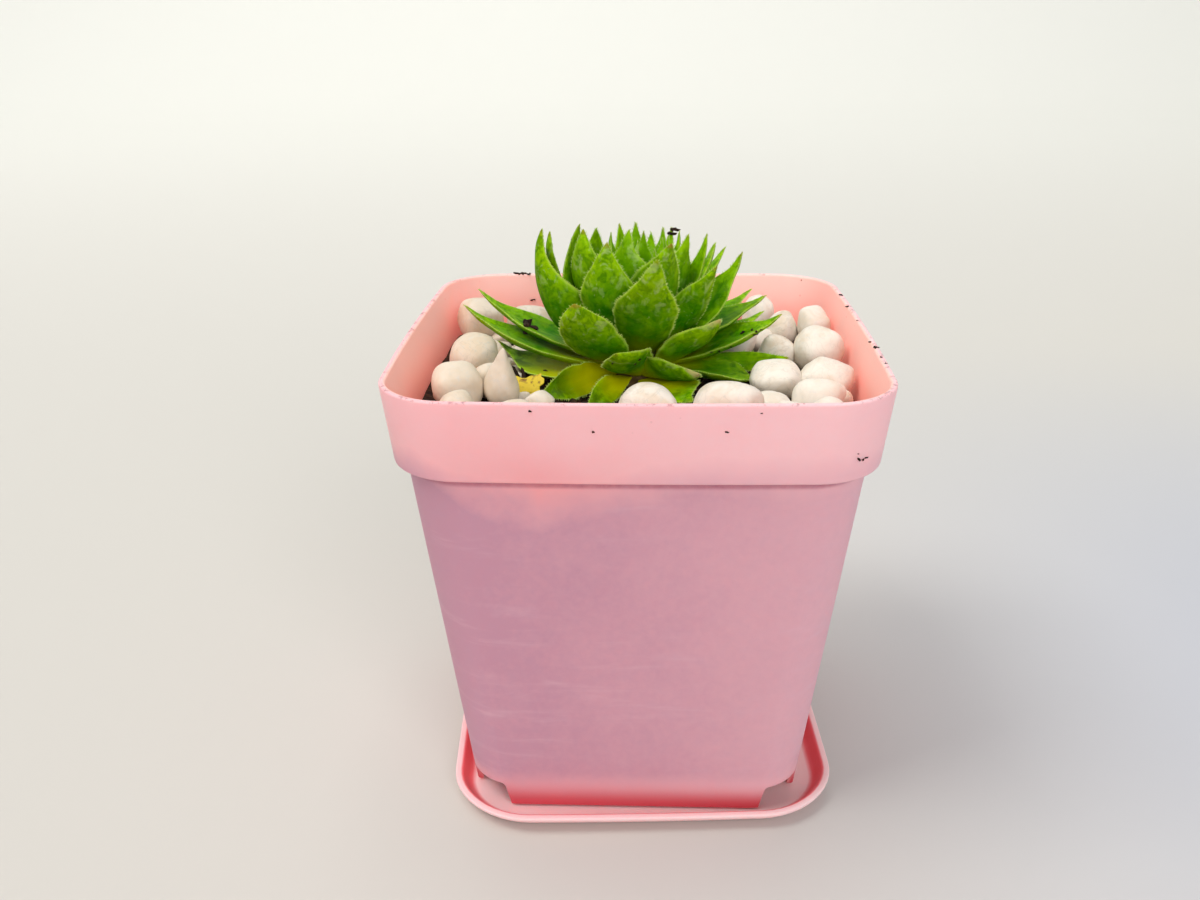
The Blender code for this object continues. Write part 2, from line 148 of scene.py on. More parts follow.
class ShaderBench:
    """Lays out the nodes of one material and ends them in a Principled shader."""

    def __init__(self, name: str) -> None:
        """Starts an empty material.

        Args:
            name: The material's name.
        """
        self.material = bpy.data.materials.new(name)
        self.material.use_nodes = True
        self.tree = self.material.node_tree
        self.shader = self.tree.nodes["Principled BSDF"]
        self._object: Wire | None = None

    def node(self, kind: str, settings: dict[str, Any], sockets: dict[Any, Any]) -> bpy.types.Node:
        """Adds a node.

        Args:
            kind: The node's type name.
            settings: The node's own settings, which are set first.
            sockets: What each input gets, by name or number: a value or a wire.

        Returns:
            The node.
        """
        made = self.tree.nodes.new(kind)
        for name, value in settings.items():
            setattr(made, name, value)
        for key, value in sockets.items():
            self.plug(made.inputs[key], value)
        return made

    def plug(self, socket: bpy.types.NodeSocket, value: Any) -> None:
        """Gives an input its value or its link.

        Args:
            socket: The input.
            value: A wire, a number, a colour or a vector.
        """
        if isinstance(value, Wire):
            self.tree.links.new(value.socket, socket)
        elif socket.type == "RGBA":
            socket.default_value = (*value[:3], 1.0)
        else:
            socket.default_value = value

    def place(self) -> Wire:
        """The point in Object coordinates.

        Returns:
            The point, in metres.
        """
        if self._object is None:
            made = self.node("ShaderNodeTexCoord", {}, {})
            self._object = Wire(self, made.outputs["Object"])
        return self._object

    def axis(self, name: str) -> Wire:
        """One coordinate of the point, X, Y or Z, in millimetres."""
        made = self.node("ShaderNodeSeparateXYZ", {}, {0: self.place()})
        return Wire(self, made.outputs[name]) * (1 / MM)

    def vector(self, x: Any, y: Any, z: Any) -> Wire:
        """A vector of three values, each a number or a wire."""
        return Wire(self, self.node("ShaderNodeCombineXYZ", {}, {0: x, 1: y, 2: z}).outputs[0])

    def stretched(self, turn: Sequence[float], scale: Sequence[float]) -> Wire:
        """Object coordinates turned and then scaled, for streaks.

        Args:
            turn: The turn about X, Y and Z in degrees.
            scale: The scale along X, Y and Z.

        Returns:
            The mapped point.
        """
        angles = tuple(math.radians(angle) for angle in turn)
        made = self.node(
            "ShaderNodeMapping",
            {"vector_type": "POINT"},
            {"Vector": self.place(), "Rotation": angles, "Scale": tuple(scale)},
        )
        return Wire(self, made.outputs[0])

    def attribute(self, name: str) -> Wire:
        """The number that the mesh holds at each point under a name."""
        made = self.node("ShaderNodeAttribute", {"attribute_name": name}, {})
        return Wire(self, made.outputs["Fac"])

    def noise(self, grain: float, detail: float = 3.0, rough: float = 0.5, at: Wire | None = None,
              warp: float = 0.0) -> Wire:
        """Cloudy noise, about 0 to 1.

        Args:
            grain: The size of its features: millimetres in Object coordinates.
            detail: How many finer layers it has.
            rough: How strong the finer layers are.
            at: The point to read, if not the Object coordinates.
            warp: How far the noise is pulled about.

        Returns:
            The noise.
        """
        scale = 1 / (grain * MM) if at is None else 1 / grain
        sockets = {"Vector": at or self.place(), "Scale": scale, "Detail": detail,
                   "Roughness": rough, "Distortion": warp}
        return Wire(self, self.node("ShaderNodeTexNoise", {}, sockets).outputs["Fac"])

    def cells(self, grain: float) -> Wire:
        """Distance to the nearest of many scattered points, in units of their usual gap in mm."""
        sockets = {"Vector": self.place(), "Scale": 1 / (grain * MM)}
        return Wire(self, self.node("ShaderNodeTexVoronoi", {}, sockets).outputs["Distance"])

    def blend(self, share: Any, first: Any, second: Any) -> Wire:
        """Mixes two colours.

        Args:
            share: How much of the second, 0 to 1.
            first: The first colour, or a wire.
            second: The second colour, or a wire.

        Returns:
            The mixed colour.
        """
        settings = {"data_type": "RGBA", "clamp_factor": True}
        made = self.node("ShaderNodeMix", settings, {0: share, 6: first, 7: second})
        return Wire(self, made.outputs[2])

    def coats(self, base: Any, *coats: tuple[Any, Any]) -> Wire:
        """Lays thin coats of colour over a base.

        Args:
            base: The first colour, or a wire.
            coats: Each coat's cover, 0 to 1, and its colour, from the lowest coat to the top one.

        Returns:
            The colour that shows.
        """
        for share, colour in coats:
            base = self.blend(share, base, colour)
        return base

    def bump(self, height: Wire, depth: float, strength: float) -> None:
        """Feeds a relief to the shader's normal.

        Args:
            height: The relief, 0 to 1.
            depth: The height of its full range, in millimetres.
            strength: How much of it shows, 0 to 1.
        """
        sockets = {"Height": height, "Distance": depth * MM, "Strength": strength}
        made = self.node("ShaderNodeBump", {}, sockets)
        self.plug(self.shader.inputs["Normal"], Wire(self, made.outputs["Normal"]))

    def close(self, **sockets: Any) -> bpy.types.Material:
        """Sets the shader's sockets.

        Args:
            sockets: Values or wires by socket name, with _ for a space.

        Returns:
            The material.
        """
        for name, value in sockets.items():
            self.plug(self.shader.inputs[name.replace("_", " ").title().replace("Ior", "IOR")], value)
        return self.material


# ---------------------------------------------------------------- finishes


@dataclass(frozen=True)
class MouldedPink:
    """Thin pink plastic, a little cloudy, with a dusty film, pale scuffs and a few specks of soil.

    The film lies between two heights and fades at both, specks start at a third, and the crease
    is where the wall steps out. A warmer spot lies there, and a painted shadow runs just under
    the crease. Towards +X the film thins and the plastic pales, as painted light. The inner wall
    is painted lighter, as light through the thin plastic, emits painted light from
    painted_glow_low up, and takes more of the painted translucence colour below shade_high; in the
    saucer these inner colours are painted shade. Millimetres."""

    name: str
    film_low: float
    film_high: float
    speck_from: float
    crease: float
    # The plastic pales across X from -half to half, as painted light from the right.
    half: float = 40.0
    spot_x: float = -17.0
    spot_half: float = 24.0
    painted_glow_low: float = 72.0
    painted_glow_high: float = 82.0
    shade_low: float = 80.0
    shade_high: float = 94.0
    plastic: Colour = paint(255, 180, 184)
    deep: Colour = paint(200, 54, 72)
    pale: Colour = paint(255, 205, 210)
    # Inner colours: on the pot, painted light through the thin plastic; on the saucer, painted shade.
    inside: Colour = paint(255, 208, 200)
    painted_translucence: Colour = paint(255, 152, 136)
    warm: Colour = paint(255, 150, 154)
    # Painted shadow under the collar's overhang.
    collar_painted_shadow: Colour = paint(176, 96, 118)
    film: Colour = paint(204, 150, 169)
    scuff: Colour = paint(228, 184, 198)
    soil: Colour = paint(74, 44, 34)

    def material(self) -> bpy.types.Material:
        """The finish as a material.

        Returns:
            The material.
        """
        bench = ShaderBench(self.name)
        x, height = bench.axis("X"), bench.axis("Z")
        cloud = bench.noise(14, detail=3, rough=0.55)
        fine = bench.noise(1.6, detail=4, rough=0.6)
        combed = bench.stretched(turn=(0, 22, 0), scale=(45, 45, 330))
        streak = bench.noise(1, detail=4, rough=0.6, at=combed, warp=0.4)
        inner = bench.attribute("inner")
        outer = 1 - inner
        # Paler towards +X: painted light, over the plastic's own cloudy tone.
        pallor_and_painted_light = cloud * 0.4 + fine * 0.2 + x.step(-self.half, self.half) * 0.4
        # More painted translucence colour low on the inner wall and near the side walls at ±X.
        painted_translucence_share = height.step(self.shade_high, self.shade_low) * 0.8 + abs(x).step(36, 43) * 0.2
        spot = (1 - abs(x - self.spot_x) / self.spot_half).clamped()
        spot = spot * bench.noise(12, detail=2, rough=0.4).step(0.1, 0.6)
        warm = spot * height.step(self.crease - 14, self.crease - 1)
        warm = warm * height.step(self.crease + 14, self.crease - 4) * outer
        foot = height.step(self.film_low + 6, self.film_low - 1) * outer
        top = self.film_high + 5 - spot * 8 + (cloud - 0.5) * 8
        band = ((top - height) / 9).clamped() * outer
        band = band * height.step(self.film_low, self.film_low + 9)
        film = (band * (cloud * 0.3 + 0.72) * (fine * 0.3 + 0.85)).clamped()
        scuffs = streak.step(0.5, 0.8) * bench.noise(22, detail=2).step(0.35, 0.65)
        # A thin painted shadow just under the collar's lower edge.
        under = height.step(self.crease - 2.1, self.crease - 1.2)
        under = under * height.step(self.crease, self.crease - 0.1) * outer
        lip = height.step(self.speck_from + 2.6, self.speck_from + 3.1)
        lip = lip * bench.noise(3.2, detail=4, rough=0.8).step(0.53, 0.62)
        dots = bench.cells(1.9).step(0.16, 0.07) * bench.noise(7, detail=2).step(0.58, 0.70)
        dots = dots * height.step(self.speck_from - 3, self.speck_from + 0.6)
        colour = bench.coats(
            self.plastic,
            (pallor_and_painted_light, self.pale),
            # The inner wall's painted light and shade.
            (inner, self.inside),
            (inner * painted_translucence_share.clamped(), self.painted_translucence),
            (warm * 0.6, self.warm),
            (foot * 0.9, self.deep),
            # The dust film thins towards +X, as painted light.
            (film * x.step(150, -90) * 1.4, self.film),
            (scuffs * (band * 0.4 + 0.06), self.scuff),
            (under * (fine * 0.5 + 0.35), self.collar_painted_shadow),
            (lip * 0.45, self.soil),
            (dots * 0.85, self.soil),
        )
        # Painted light that the inner wall emits, standing in for light through the plastic.
        painted_light = inner * height.step(self.painted_glow_low, self.painted_glow_high) * (cloud * 0.6 + 0.5)
        grain = bench.noise(0.35, detail=2, rough=0.5)
        bench.bump(grain * 0.3 + cloud * 0.5 + scuffs * 0.2, depth=0.05, strength=0.35)
        return bench.close(
            base_color=colour,
            emission_color=bench.blend(painted_light, BLACK, self.painted_translucence),
            emission_strength=0.2,
            roughness=0.46 + film * 0.22 + scuffs * 0.1 + fine * 0.08,
            subsurface_weight=0.45,
            subsurface_radius=(1.0, 0.45, 0.40),
            subsurface_scale=2.6 * MM,
            specular_ior_level=0.2,
        )


@dataclass(frozen=True)
class LeafSkin:
    """The fleshy skin of a leaf.

    It reads what each leaf's mesh holds: along, 0 at the foot and 1 at the tip; across, -1 to 1;
    back, 1 on the lower face; age, 0 to 1; scar, 1 where the tip is dry; tone, 0 to 1."""

    name: str
    foot: Colour = paint(204, 200, 0)
    blade: Colour = paint(56, 130, 0)
    shade: Colour = paint(28, 94, 0)
    rich: Colour = paint(150, 196, 4)
    young: Colour = paint(136, 196, 12)
    old: Colour = paint(58, 84, 4)
    bloom: Colour = paint(188, 206, 136)
    # Painted shade between the leaves, at young leaves' feet.
    deep: Colour = paint(12, 50, 0)
    margin: Colour = paint(186, 216, 84)
    tip: Colour = paint(150, 116, 46)
    dry: Colour = paint(206, 190, 134)

    def material(self) -> bpy.types.Material:
        """The finish as a material.

        Returns:
            The material.
        """
        bench = ShaderBench(self.name)
        along, across, back, age, scar, tone = (
            bench.attribute(name) for name in ("along", "across", "back", "age", "scar", "tone")
        )
        side = abs(across)
        blotch = bench.noise(3.4, detail=3, rough=0.6, warp=0.6)
        patch = bench.noise(1.7, detail=4, rough=0.6, warp=0.8)
        mottle = bench.noise(0.8, detail=4, rough=0.62)
        fibre_at = bench.vector(across * 7 + tone * 31, along * 1.8, tone * 17)
        fibre = bench.noise(1, detail=3, rough=0.55, at=fibre_at)
        reach = along + (blotch - 0.5) * 0.22 + (fibre - 0.5) * 0.10
        # Painted light: richer and lighter towards the tip and the margins.
        painted_light = reach.step(0.42, 1.0) * 0.85 + (side + (fibre - 0.5) * 0.3).step(0.45, 1.0) * 0.45
        light = (blotch - 0.42).clamped() * (fibre + 0.3) * 2.2
        # Painted shade deep in the rosette, at the feet of young leaves.
        painted_crevice_shade = (1 - age * 1.7).clamped() * reach.step(0.5, 0.12)
        yellow = (age * age * 0.58 + 0.2 - reach - side * 0.08) / (age * 0.30 + 0.14)
        # Old leaves' darker olive patches: wear, made stronger as painted shade.
        worn_and_painted_shade = (age * 4 - 3).clamped() * blotch.step(0.40, 0.56) * reach.step(0.5, 0.75)
        smear = bench.noise(2.6, detail=4, rough=0.6, warp=0.5).step(0.53, 0.66) * reach.step(0.3, 0.95)
        nick = bench.noise(1.1, detail=3, rough=0.7, warp=0.8).step(0.6, 0.72)
        nick = nick * bench.noise(4, detail=2).step(0.48, 0.6)
        film = (smear * 0.7 + nick * 0.9).clamped() * (back * 0.45 + 0.12)
        edge = (side + (mottle - 0.5) * 0.10).step(0.92, 1.0) * along.step(0.08, 0.3)
        point = (along + (mottle - 0.5) * 0.03).step(0.94, 0.985)
        torn = scar * (along + (blotch - 0.5) * 0.2 + side * 0.03).step(0.88, 0.95)
        colour = bench.coats(
            self.blade,
            (painted_light.clamped(), self.rich),
            (patch.step(0.42, 0.62) * 0.6, self.shade),
            (mottle.step(0.44, 0.66) * 0.35, self.blade),
            (light.clamped() * (0.75 - back * 0.2), self.rich),
            ((1 - age * 2.6).clamped() * (reach * 0.5 + 0.2), self.young),
            (painted_crevice_shade * 0.75, self.deep),
            (yellow.clamped() * (age * 0.5 + 0.35), self.foot),
            (worn_and_painted_shade * (0.5 + tone * 0.4), self.old),
            (film, self.bloom),
            (edge * 0.6, self.margin),
            (point * (0.1 + tone * 0.7), self.tip),
            (torn * 0.9, self.dry),
        )
        relief = fibre * 0.45 + mottle * 0.35 + film * 0.4 + blotch * 0.3
        bench.bump(relief, depth=0.14, strength=0.5)
        return bench.close(
            base_color=colour,
            roughness=0.38 + film * 0.3 + torn * 0.3 + mottle * 0.14,
            subsurface_weight=0.10,
            subsurface_radius=(0.55, 1.0, 0.10),
            subsurface_scale=0.8 * MM,
            specular_ior_level=0.03,
        )


@dataclass(frozen=True)
class LeafHair:
    """The pale fringe of short stiff hairs along a leaf's margin."""

    name: str
    hair: Colour = paint(206, 222, 128)
    root: Colour = paint(142, 184, 40)

    def material(self) -> bpy.types.Material:
        """The finish as a material.

        Returns:
            The material.
        """
        bench = ShaderBench(self.name)
        colour = bench.blend(bench.noise(1.2, detail=2), self.root, self.hair)
        bench.bump(bench.noise(0.2, detail=2), depth=0.03, strength=0.3)
        return bench.close(base_color=colour, roughness=0.55, subsurface_weight=0.2,
                           subsurface_radius=(1.0, 1.0, 0.6), subsurface_scale=0.4 * MM)


@dataclass(frozen=True)
class TumbledStone:
    """White tumbled stone, chalky, with faint cream and grey clouds, veins and fine pits.

    It turns creamier towards the left as painted shade, and dusty at its foot. Millimetres."""

    name: str
    # Along X: where the painted shade towards the left starts and where it is full.
    painted_shade_from: tuple[float, float] = (2.0, -38.0)
    dusty_from: tuple[float, float] = (84.6, 82.3)
    white: Colour = paint(236, 227, 214)
    cream: Colour = paint(216, 196, 168)
    grey: Colour = paint(206, 208, 206)
    vein: Colour = paint(184, 176, 160)
    dust: Colour = paint(150, 128, 100)

    def material(self) -> bpy.types.Material:
        """The finish as a material.

        Returns:
            The material.
        """
        bench = ShaderBench(self.name)
        tone = bench.attribute("tone")
        cloud = bench.noise(4.5, detail=4, rough=0.55, warp=0.5)
        fine = bench.noise(0.8, detail=5, rough=0.62)
        # Creamier towards the left: painted shade from the pot's wall.
        left_painted_shade = bench.axis("X").step(*self.painted_shade_from)
        line = abs(bench.noise(7, detail=3, rough=0.6, warp=1.5) - 0.5).step(0.022, 0.0)
        foot = bench.axis("Z").step(*self.dusty_from) * bench.noise(1.1, detail=3).step(0.4, 0.66)
        colour = bench.coats(
            self.white,
            (cloud.step(0.42, 0.7) * (0.25 + tone * 0.6), self.cream),
            (left_painted_shade * (0.35 + cloud * 0.5), self.cream),
            (fine.step(0.5, 0.72) * 0.35, self.grey),
            (line * 0.35 * tone, self.vein),
            (foot * 0.7, self.dust),
        )
        pits = bench.cells(0.7).step(0.0, 0.3)
        bench.bump(fine * 0.6 + pits * 0.3 + cloud * 0.4 - line * 0.15, depth=0.10, strength=0.45)
        return bench.close(
            base_color=colour,
            roughness=0.5 + fine * 0.16,
            subsurface_weight=0.18,
            subsurface_radius=(1.0, 0.9, 0.8),
            subsurface_scale=1.2 * MM,
            specular_ior_level=0.45,
        )


@dataclass(frozen=True)
class PottingSoil:
    """Dark moist potting soil, with brown fibres and lighter crumbs."""

    name: str
    dark: Colour = paint(34, 23, 17)
    brown: Colour = paint(84, 58, 38)
    light: Colour = paint(126, 96, 66)

    def material(self) -> bpy.types.Material:
        """The finish as a material.

        Returns:
            The material.
        """
        bench = ShaderBench(self.name)
        clump = bench.noise(2.6, detail=4, rough=0.65)
        crumb = bench.cells(0.9)
        combed = bench.stretched(turn=(20, 35, 50), scale=(260, 1900, 1900))
        fibre = bench.noise(1, detail=3, rough=0.6, at=combed, warp=0.8)
        colour = bench.coats(
            self.dark,
            (clump.step(0.35, 0.7), self.brown),
            (fibre.step(0.6, 0.74) * 0.5, self.light),
            (crumb.step(0.5, 0.1) * 0.35, self.dark),
        )
        bench.bump(clump * 0.6 + crumb * 0.5 + fibre * 0.2, depth=0.5, strength=0.9)
        return bench.close(base_color=colour, roughness=0.86 + clump * 0.1, specular_ior_level=0.25)


@dataclass(frozen=True)
class StemBark:
    """The brown skin of the short stem, ringed where old leaves came off, and green higher up."""

    name: str
    green_from: tuple[float, float] = (84.0, 92.0)
    bark: Colour = paint(122, 94, 52)
    green: Colour = paint(146, 150, 58)

    def material(self) -> bpy.types.Material:
        """The finish as a material.

        Returns:
            The material.
        """
        bench = ShaderBench(self.name)
        cloud = bench.noise(1.8, detail=4, rough=0.6)
        level = bench.stretched(turn=(0, 0, 0), scale=(220, 220, 1100))
        ring = bench.noise(1, detail=3, rough=0.6, at=level)
        high = bench.axis("Z").step(*self.green_from)
        colour = bench.blend((high * 0.8 + cloud * 0.4 - 0.1).clamped(), self.bark, self.green)
        bench.bump(ring * 0.8 + cloud * 0.4, depth=0.3, strength=0.8)
        return bench.close(base_color=colour, roughness=0.7 + cloud * 0.15)


@dataclass(frozen=True)
class DeadLeaf:
    """A withered scrap of leaf: yellow, browning at its edges."""

    name: str
    yellow: Colour = paint(214, 186, 40)
    brown: Colour = paint(128, 92, 30)

    def material(self) -> bpy.types.Material:
        """The finish as a material.

        Returns:
            The material.
        """
        bench = ShaderBench(self.name)
        cloud = bench.noise(1.5, detail=4, rough=0.6, warp=0.8)
        colour = bench.blend(cloud.step(0.5, 0.7), self.yellow, self.brown)
        bench.bump(cloud, depth=0.2, strength=0.7)
        return bench.close(base_color=colour, roughness=0.6 + cloud * 0.2, subsurface_weight=0.15,
                           subsurface_radius=(1.0, 0.8, 0.2), subsurface_scale=0.6 * MM)


@dataclass(frozen=True)
class StudioPaper:
    """The plain paper that the object stands on, with painted light that pales it far off and a bluish
    painted shadow to the right. Millimetres.
    """

    name: str
    # The paper pales far off as painted light.
    painted_light_falloff: tuple[float, float] = (-150.0, 1500.0)
    painted_shadow_right: tuple[float, float] = (-30.0, 230.0)
    painted_shadow_far: tuple[float, float] = (320.0, -20.0)
    painted_shadow_front: tuple[float, float] = (-260.0, 0.0)
    white: Colour = paint(240, 239, 232)
    # Painted dimmer light on the paper near the object.
    near: Colour = paint(205, 201, 194)
    floor_painted_shadow: Colour = paint(184, 188, 200)

    def material(self) -> bpy.types.Material:
        """The finish as a material.

        Returns:
            The material.
        """
        bench = ShaderBench(self.name)
        x, y = bench.axis("X"), bench.axis("Y")
        # A bluish painted shadow to the right of the pot.
        floor_painted_shadow = x.step(*self.painted_shadow_right) * (y.step(*self.painted_shadow_far) * y.step(*self.painted_shadow_front))
        colour = bench.coats(self.near, (y.step(*self.painted_light_falloff), self.white), (floor_painted_shadow, self.floor_painted_shadow))
        bench.bump(bench.noise(0.8, detail=3, rough=0.6), depth=0.05, strength=0.25)
        return bench.close(base_color=colour, roughness=0.85)


# ---------------------------------------------------------------- modelling bench


class Bench:
    """The modelling steps that the pieces share, each done with Blender's operators."""

    @staticmethod
    def clear() -> None:
        """Deselects every object."""
        if bpy.context.object and bpy.context.object.mode != "OBJECT":
            bpy.ops.object.mode_set(mode="OBJECT")
        bpy.ops.object.select_all(action="DESELECT")

    @classmethod
    def take(cls, *pieces: bpy.types.Object) -> None:
        """Selects these pieces and no others, and makes the first one active.

        Args:
            pieces: The pieces.
        """
        cls.clear()
        for piece in pieces:
            piece.select_set(True)
        bpy.context.view_layer.objects.active = pieces[0]

    @classmethod
    @contextmanager
    def editing(cls) -> Iterator[None]:
        """Holds the active piece in edit mode with all of it selected.

        Yields:
            Nothing.
        """
        bpy.ops.object.mode_set(mode="EDIT")
        bpy.ops.mesh.select_all(action="SELECT")
        yield
        bpy.ops.object.mode_set(mode="OBJECT")

    @staticmethod
    def points(piece: bpy.types.Object) -> np.ndarray:
        """The points of a piece's mesh."""
        return np.array([vert.co for vert in piece.data.vertices])

    @staticmethod
    def move(piece: bpy.types.Object, points: np.ndarray) -> None:
        """Moves the points of a piece's mesh to new places."""
        piece.data.vertices.foreach_set("co", points.reshape(-1).astype(np.float32))
        piece.data.update()

    @staticmethod
    def stand(spot: Vector, turn: Matrix, sizes: Sequence[float]) -> Matrix:
        """Where a copy of a small shape stands, from its place, its turn and its three sizes."""
        return Matrix.Translation(spot) @ turn @ Matrix.Diagonal((*sizes, 1.0))

    @classmethod
    def named(cls, name: str) -> bpy.types.Object:
        """Names the object that an operator has just added.

        Args:
            name: Its name.

        Returns:
            The object.
        """
        made = bpy.context.active_object
        made.name = name
        made.data.name = name
        return made

    @classmethod
    def add(cls, name: str, shape: str, **settings: Any) -> bpy.types.Object:
        """Adds one of Blender's simple shapes, to be worked into a piece.

        Args:
            name: Its name.
            shape: The shape, as its operator calls it.
            settings: The operator's settings.

        Returns:
            The object.
        """
        cls.clear()
        getattr(bpy.ops.mesh, f"primitive_{shape}_add")(**settings)
        return cls.named(name)

    @classmethod
    def modify(cls, piece: bpy.types.Object, kind: str, **settings: Any) -> None:
        """Adds a modifier and applies it.

        Args:
            piece: The piece to modify.
            kind: The modifier's type.
            settings: Its settings.
        """
        cls.take(piece)
        bpy.ops.object.modifier_add(type=kind)
        modifier = piece.modifiers[-1]
        for key, value in settings.items():
            setattr(modifier, key, value)
        bpy.ops.object.modifier_apply(modifier=modifier.name)

    @classmethod
    def settle(cls, piece: bpy.types.Object) -> None:
        """Puts the piece's place, turn and scale into its mesh."""
        cls.take(piece)
        bpy.ops.object.transform_apply(location=True, rotation=True, scale=True)

    @classmethod
    def smooth(cls, piece: bpy.types.Object, angle: float) -> None:
        """Shades a piece smooth, but for edges sharper than an angle in degrees."""
        cls.take(piece)
        bpy.ops.object.shade_smooth_by_angle(angle=math.radians(angle))

    @classmethod
    def join(cls, name: str, pieces: Sequence[bpy.types.Object]) -> bpy.types.Object:
        """Joins pieces in one object.

        Args:
            name: Its name.
            pieces: The pieces; the first one takes the others in.

        Returns:
            The joined piece.
        """
        cls.take(*pieces)
        if len(pieces) > 1:
            bpy.ops.object.join()
        return cls.named(name)

    @classmethod
    def prism(cls, name: str, corners: int, rings: int) -> tuple[bpy.types.Object, np.ndarray]:
        """A blank for anything that is lofted: a round disc extruded ring by ring.

        Args:
            name: The blank's name.
            corners: How many corners each ring has.
            rings: How many rings there are.

        Returns:
            The blank, and the index of the vertex at each ring and corner.
        """
        blank = cls.add(name, "circle", vertices=corners, radius=1.0, fill_type="NGON")
        with cls.editing():
            for _ in range(rings - 1):
                bpy.ops.mesh.extrude_region_move(TRANSFORM_OT_translate={"value": (0, 0, 1)})
            bpy.ops.mesh.select_all(action="SELECT")
            bpy.ops.mesh.normals_make_consistent(inside=False)
        points = cls.points(blank)
        turn = np.arctan2(points[:, 1], points[:, 0])
        corner = np.rint((turn - turn[0]) / (2 * math.pi / corners)).astype(int) % corners
        ring = np.rint(points[:, 2]).astype(int)
        order = np.zeros((rings, corners), int)
        order[ring, corner] = np.arange(len(points))
        return blank, order

    @classmethod
    def loft(cls, name: str, sections: np.ndarray) -> bpy.types.Object:
        """A closed skin through rings of points.

        Args:
            name: Its name.
            sections: The rings' points in metres: rings, corners, 3. Each ring runs anticlockwise
                about the way from the first ring to the last.

        Returns:
            The piece.
        """
        piece, order = cls.prism(name, sections.shape[1], sections.shape[0])
        cls.shape(piece, order, sections)
        return piece

    @classmethod
    def shape(cls, piece: bpy.types.Object, order: np.ndarray, sections: np.ndarray) -> None:
        """Moves a blank's rings to where they belong.

        Args:
            piece: The blank, or a copy of it.
            order: The index of the vertex at each ring and corner.
            sections: The points at each ring and corner, in metres.
        """
        points = np.zeros((len(piece.data.vertices), 3))
        points[order.reshape(-1)] = sections.reshape(-1, 3)
        cls.move(piece, points)

    @staticmethod
    def mark(piece: bpy.types.Object, name: str, values: Any) -> None:
        """Stores a number at each point of a piece's mesh.

        Args:
            piece: The piece.
            name: The attribute's name.
            values: One number, or one for each point.
        """
        layer = piece.data.attributes.new(name, "FLOAT", "POINT")
        numbers = np.broadcast_to(np.asarray(values, np.float32), len(piece.data.vertices))
        layer.data.foreach_set("value", np.ascontiguousarray(numbers))

    @classmethod
    def scatter(cls, name: str, pattern: bpy.types.Object, places: Sequence[Matrix],
                tones: Sequence[float] | None = None) -> bpy.types.Object:
        """Copies a small shape to many places, as one mesh.

        Args:
            name: The piece's name.
            pattern: The shape to copy. It is removed.
            places: Where each copy goes.
            tones: A number for each copy, stored as its tone.

        Returns:
            The piece.
        """
        points = cls.points(pattern)
        faces = [tuple(face.vertices) for face in pattern.data.polygons]
        stack = np.array([np.array(place) for place in places])
        moved = np.einsum("kij,nj->kni", stack[:, :3, :3], points) + stack[:, None, :3, 3]
        count = len(points)
        shifted = [tuple(i + k * count for i in face) for k in range(len(stack)) for face in faces]
        mesh = bpy.data.meshes.new(name)
        mesh.from_pydata(moved.reshape(-1, 3).tolist(), [], shifted)
        piece = bpy.data.objects.new(name, mesh)
        bpy.context.scene.collection.objects.link(piece)
        bpy.data.objects.remove(pattern, do_unlink=True)
        if tones is not None:
            cls.mark(piece, "tone", np.repeat(np.asarray(tones, np.float32), count))
        return piece

    @staticmethod
    def dress(piece: bpy.types.Object, *materials: bpy.types.Material) -> None:
        """Gives a piece its materials, in place of any that it had.

        Args:
            piece: The piece.
            materials: The materials, in the order of its slots.
        """
        piece.data.materials.clear()
        for material in materials:
            piece.data.materials.append(material)

    @classmethod
    def mount(cls, piece: bpy.types.Object, slot: str, *nodes: str,
              look: bpy.types.Material | None = None) -> None:
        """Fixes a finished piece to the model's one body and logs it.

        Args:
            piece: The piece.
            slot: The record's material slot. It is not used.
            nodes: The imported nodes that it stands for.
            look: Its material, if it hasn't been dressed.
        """
        if look:
            cls.dress(piece, look)
        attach(piece, BODY)
        if nodes:
            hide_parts(*nodes)
        log.info("%s: %d faces", piece.name, len(piece.data.polygons))


# ---------------------------------------------------------------- pot and saucer


@dataclass(frozen=True)
class Station:
    """One corner of a moulded wall's profile: half its width, its corner radius, how far the
    middle of a side swells, its height, and how softly the corner is rounded. Millimetres."""

    half: float
    radius: float
    swell: float
    z: float
    soft: float

    def numbers(self) -> np.ndarray:
        """The four numbers that a ring is made from."""
        return np.array([self.half, self.radius, self.swell, self.z])


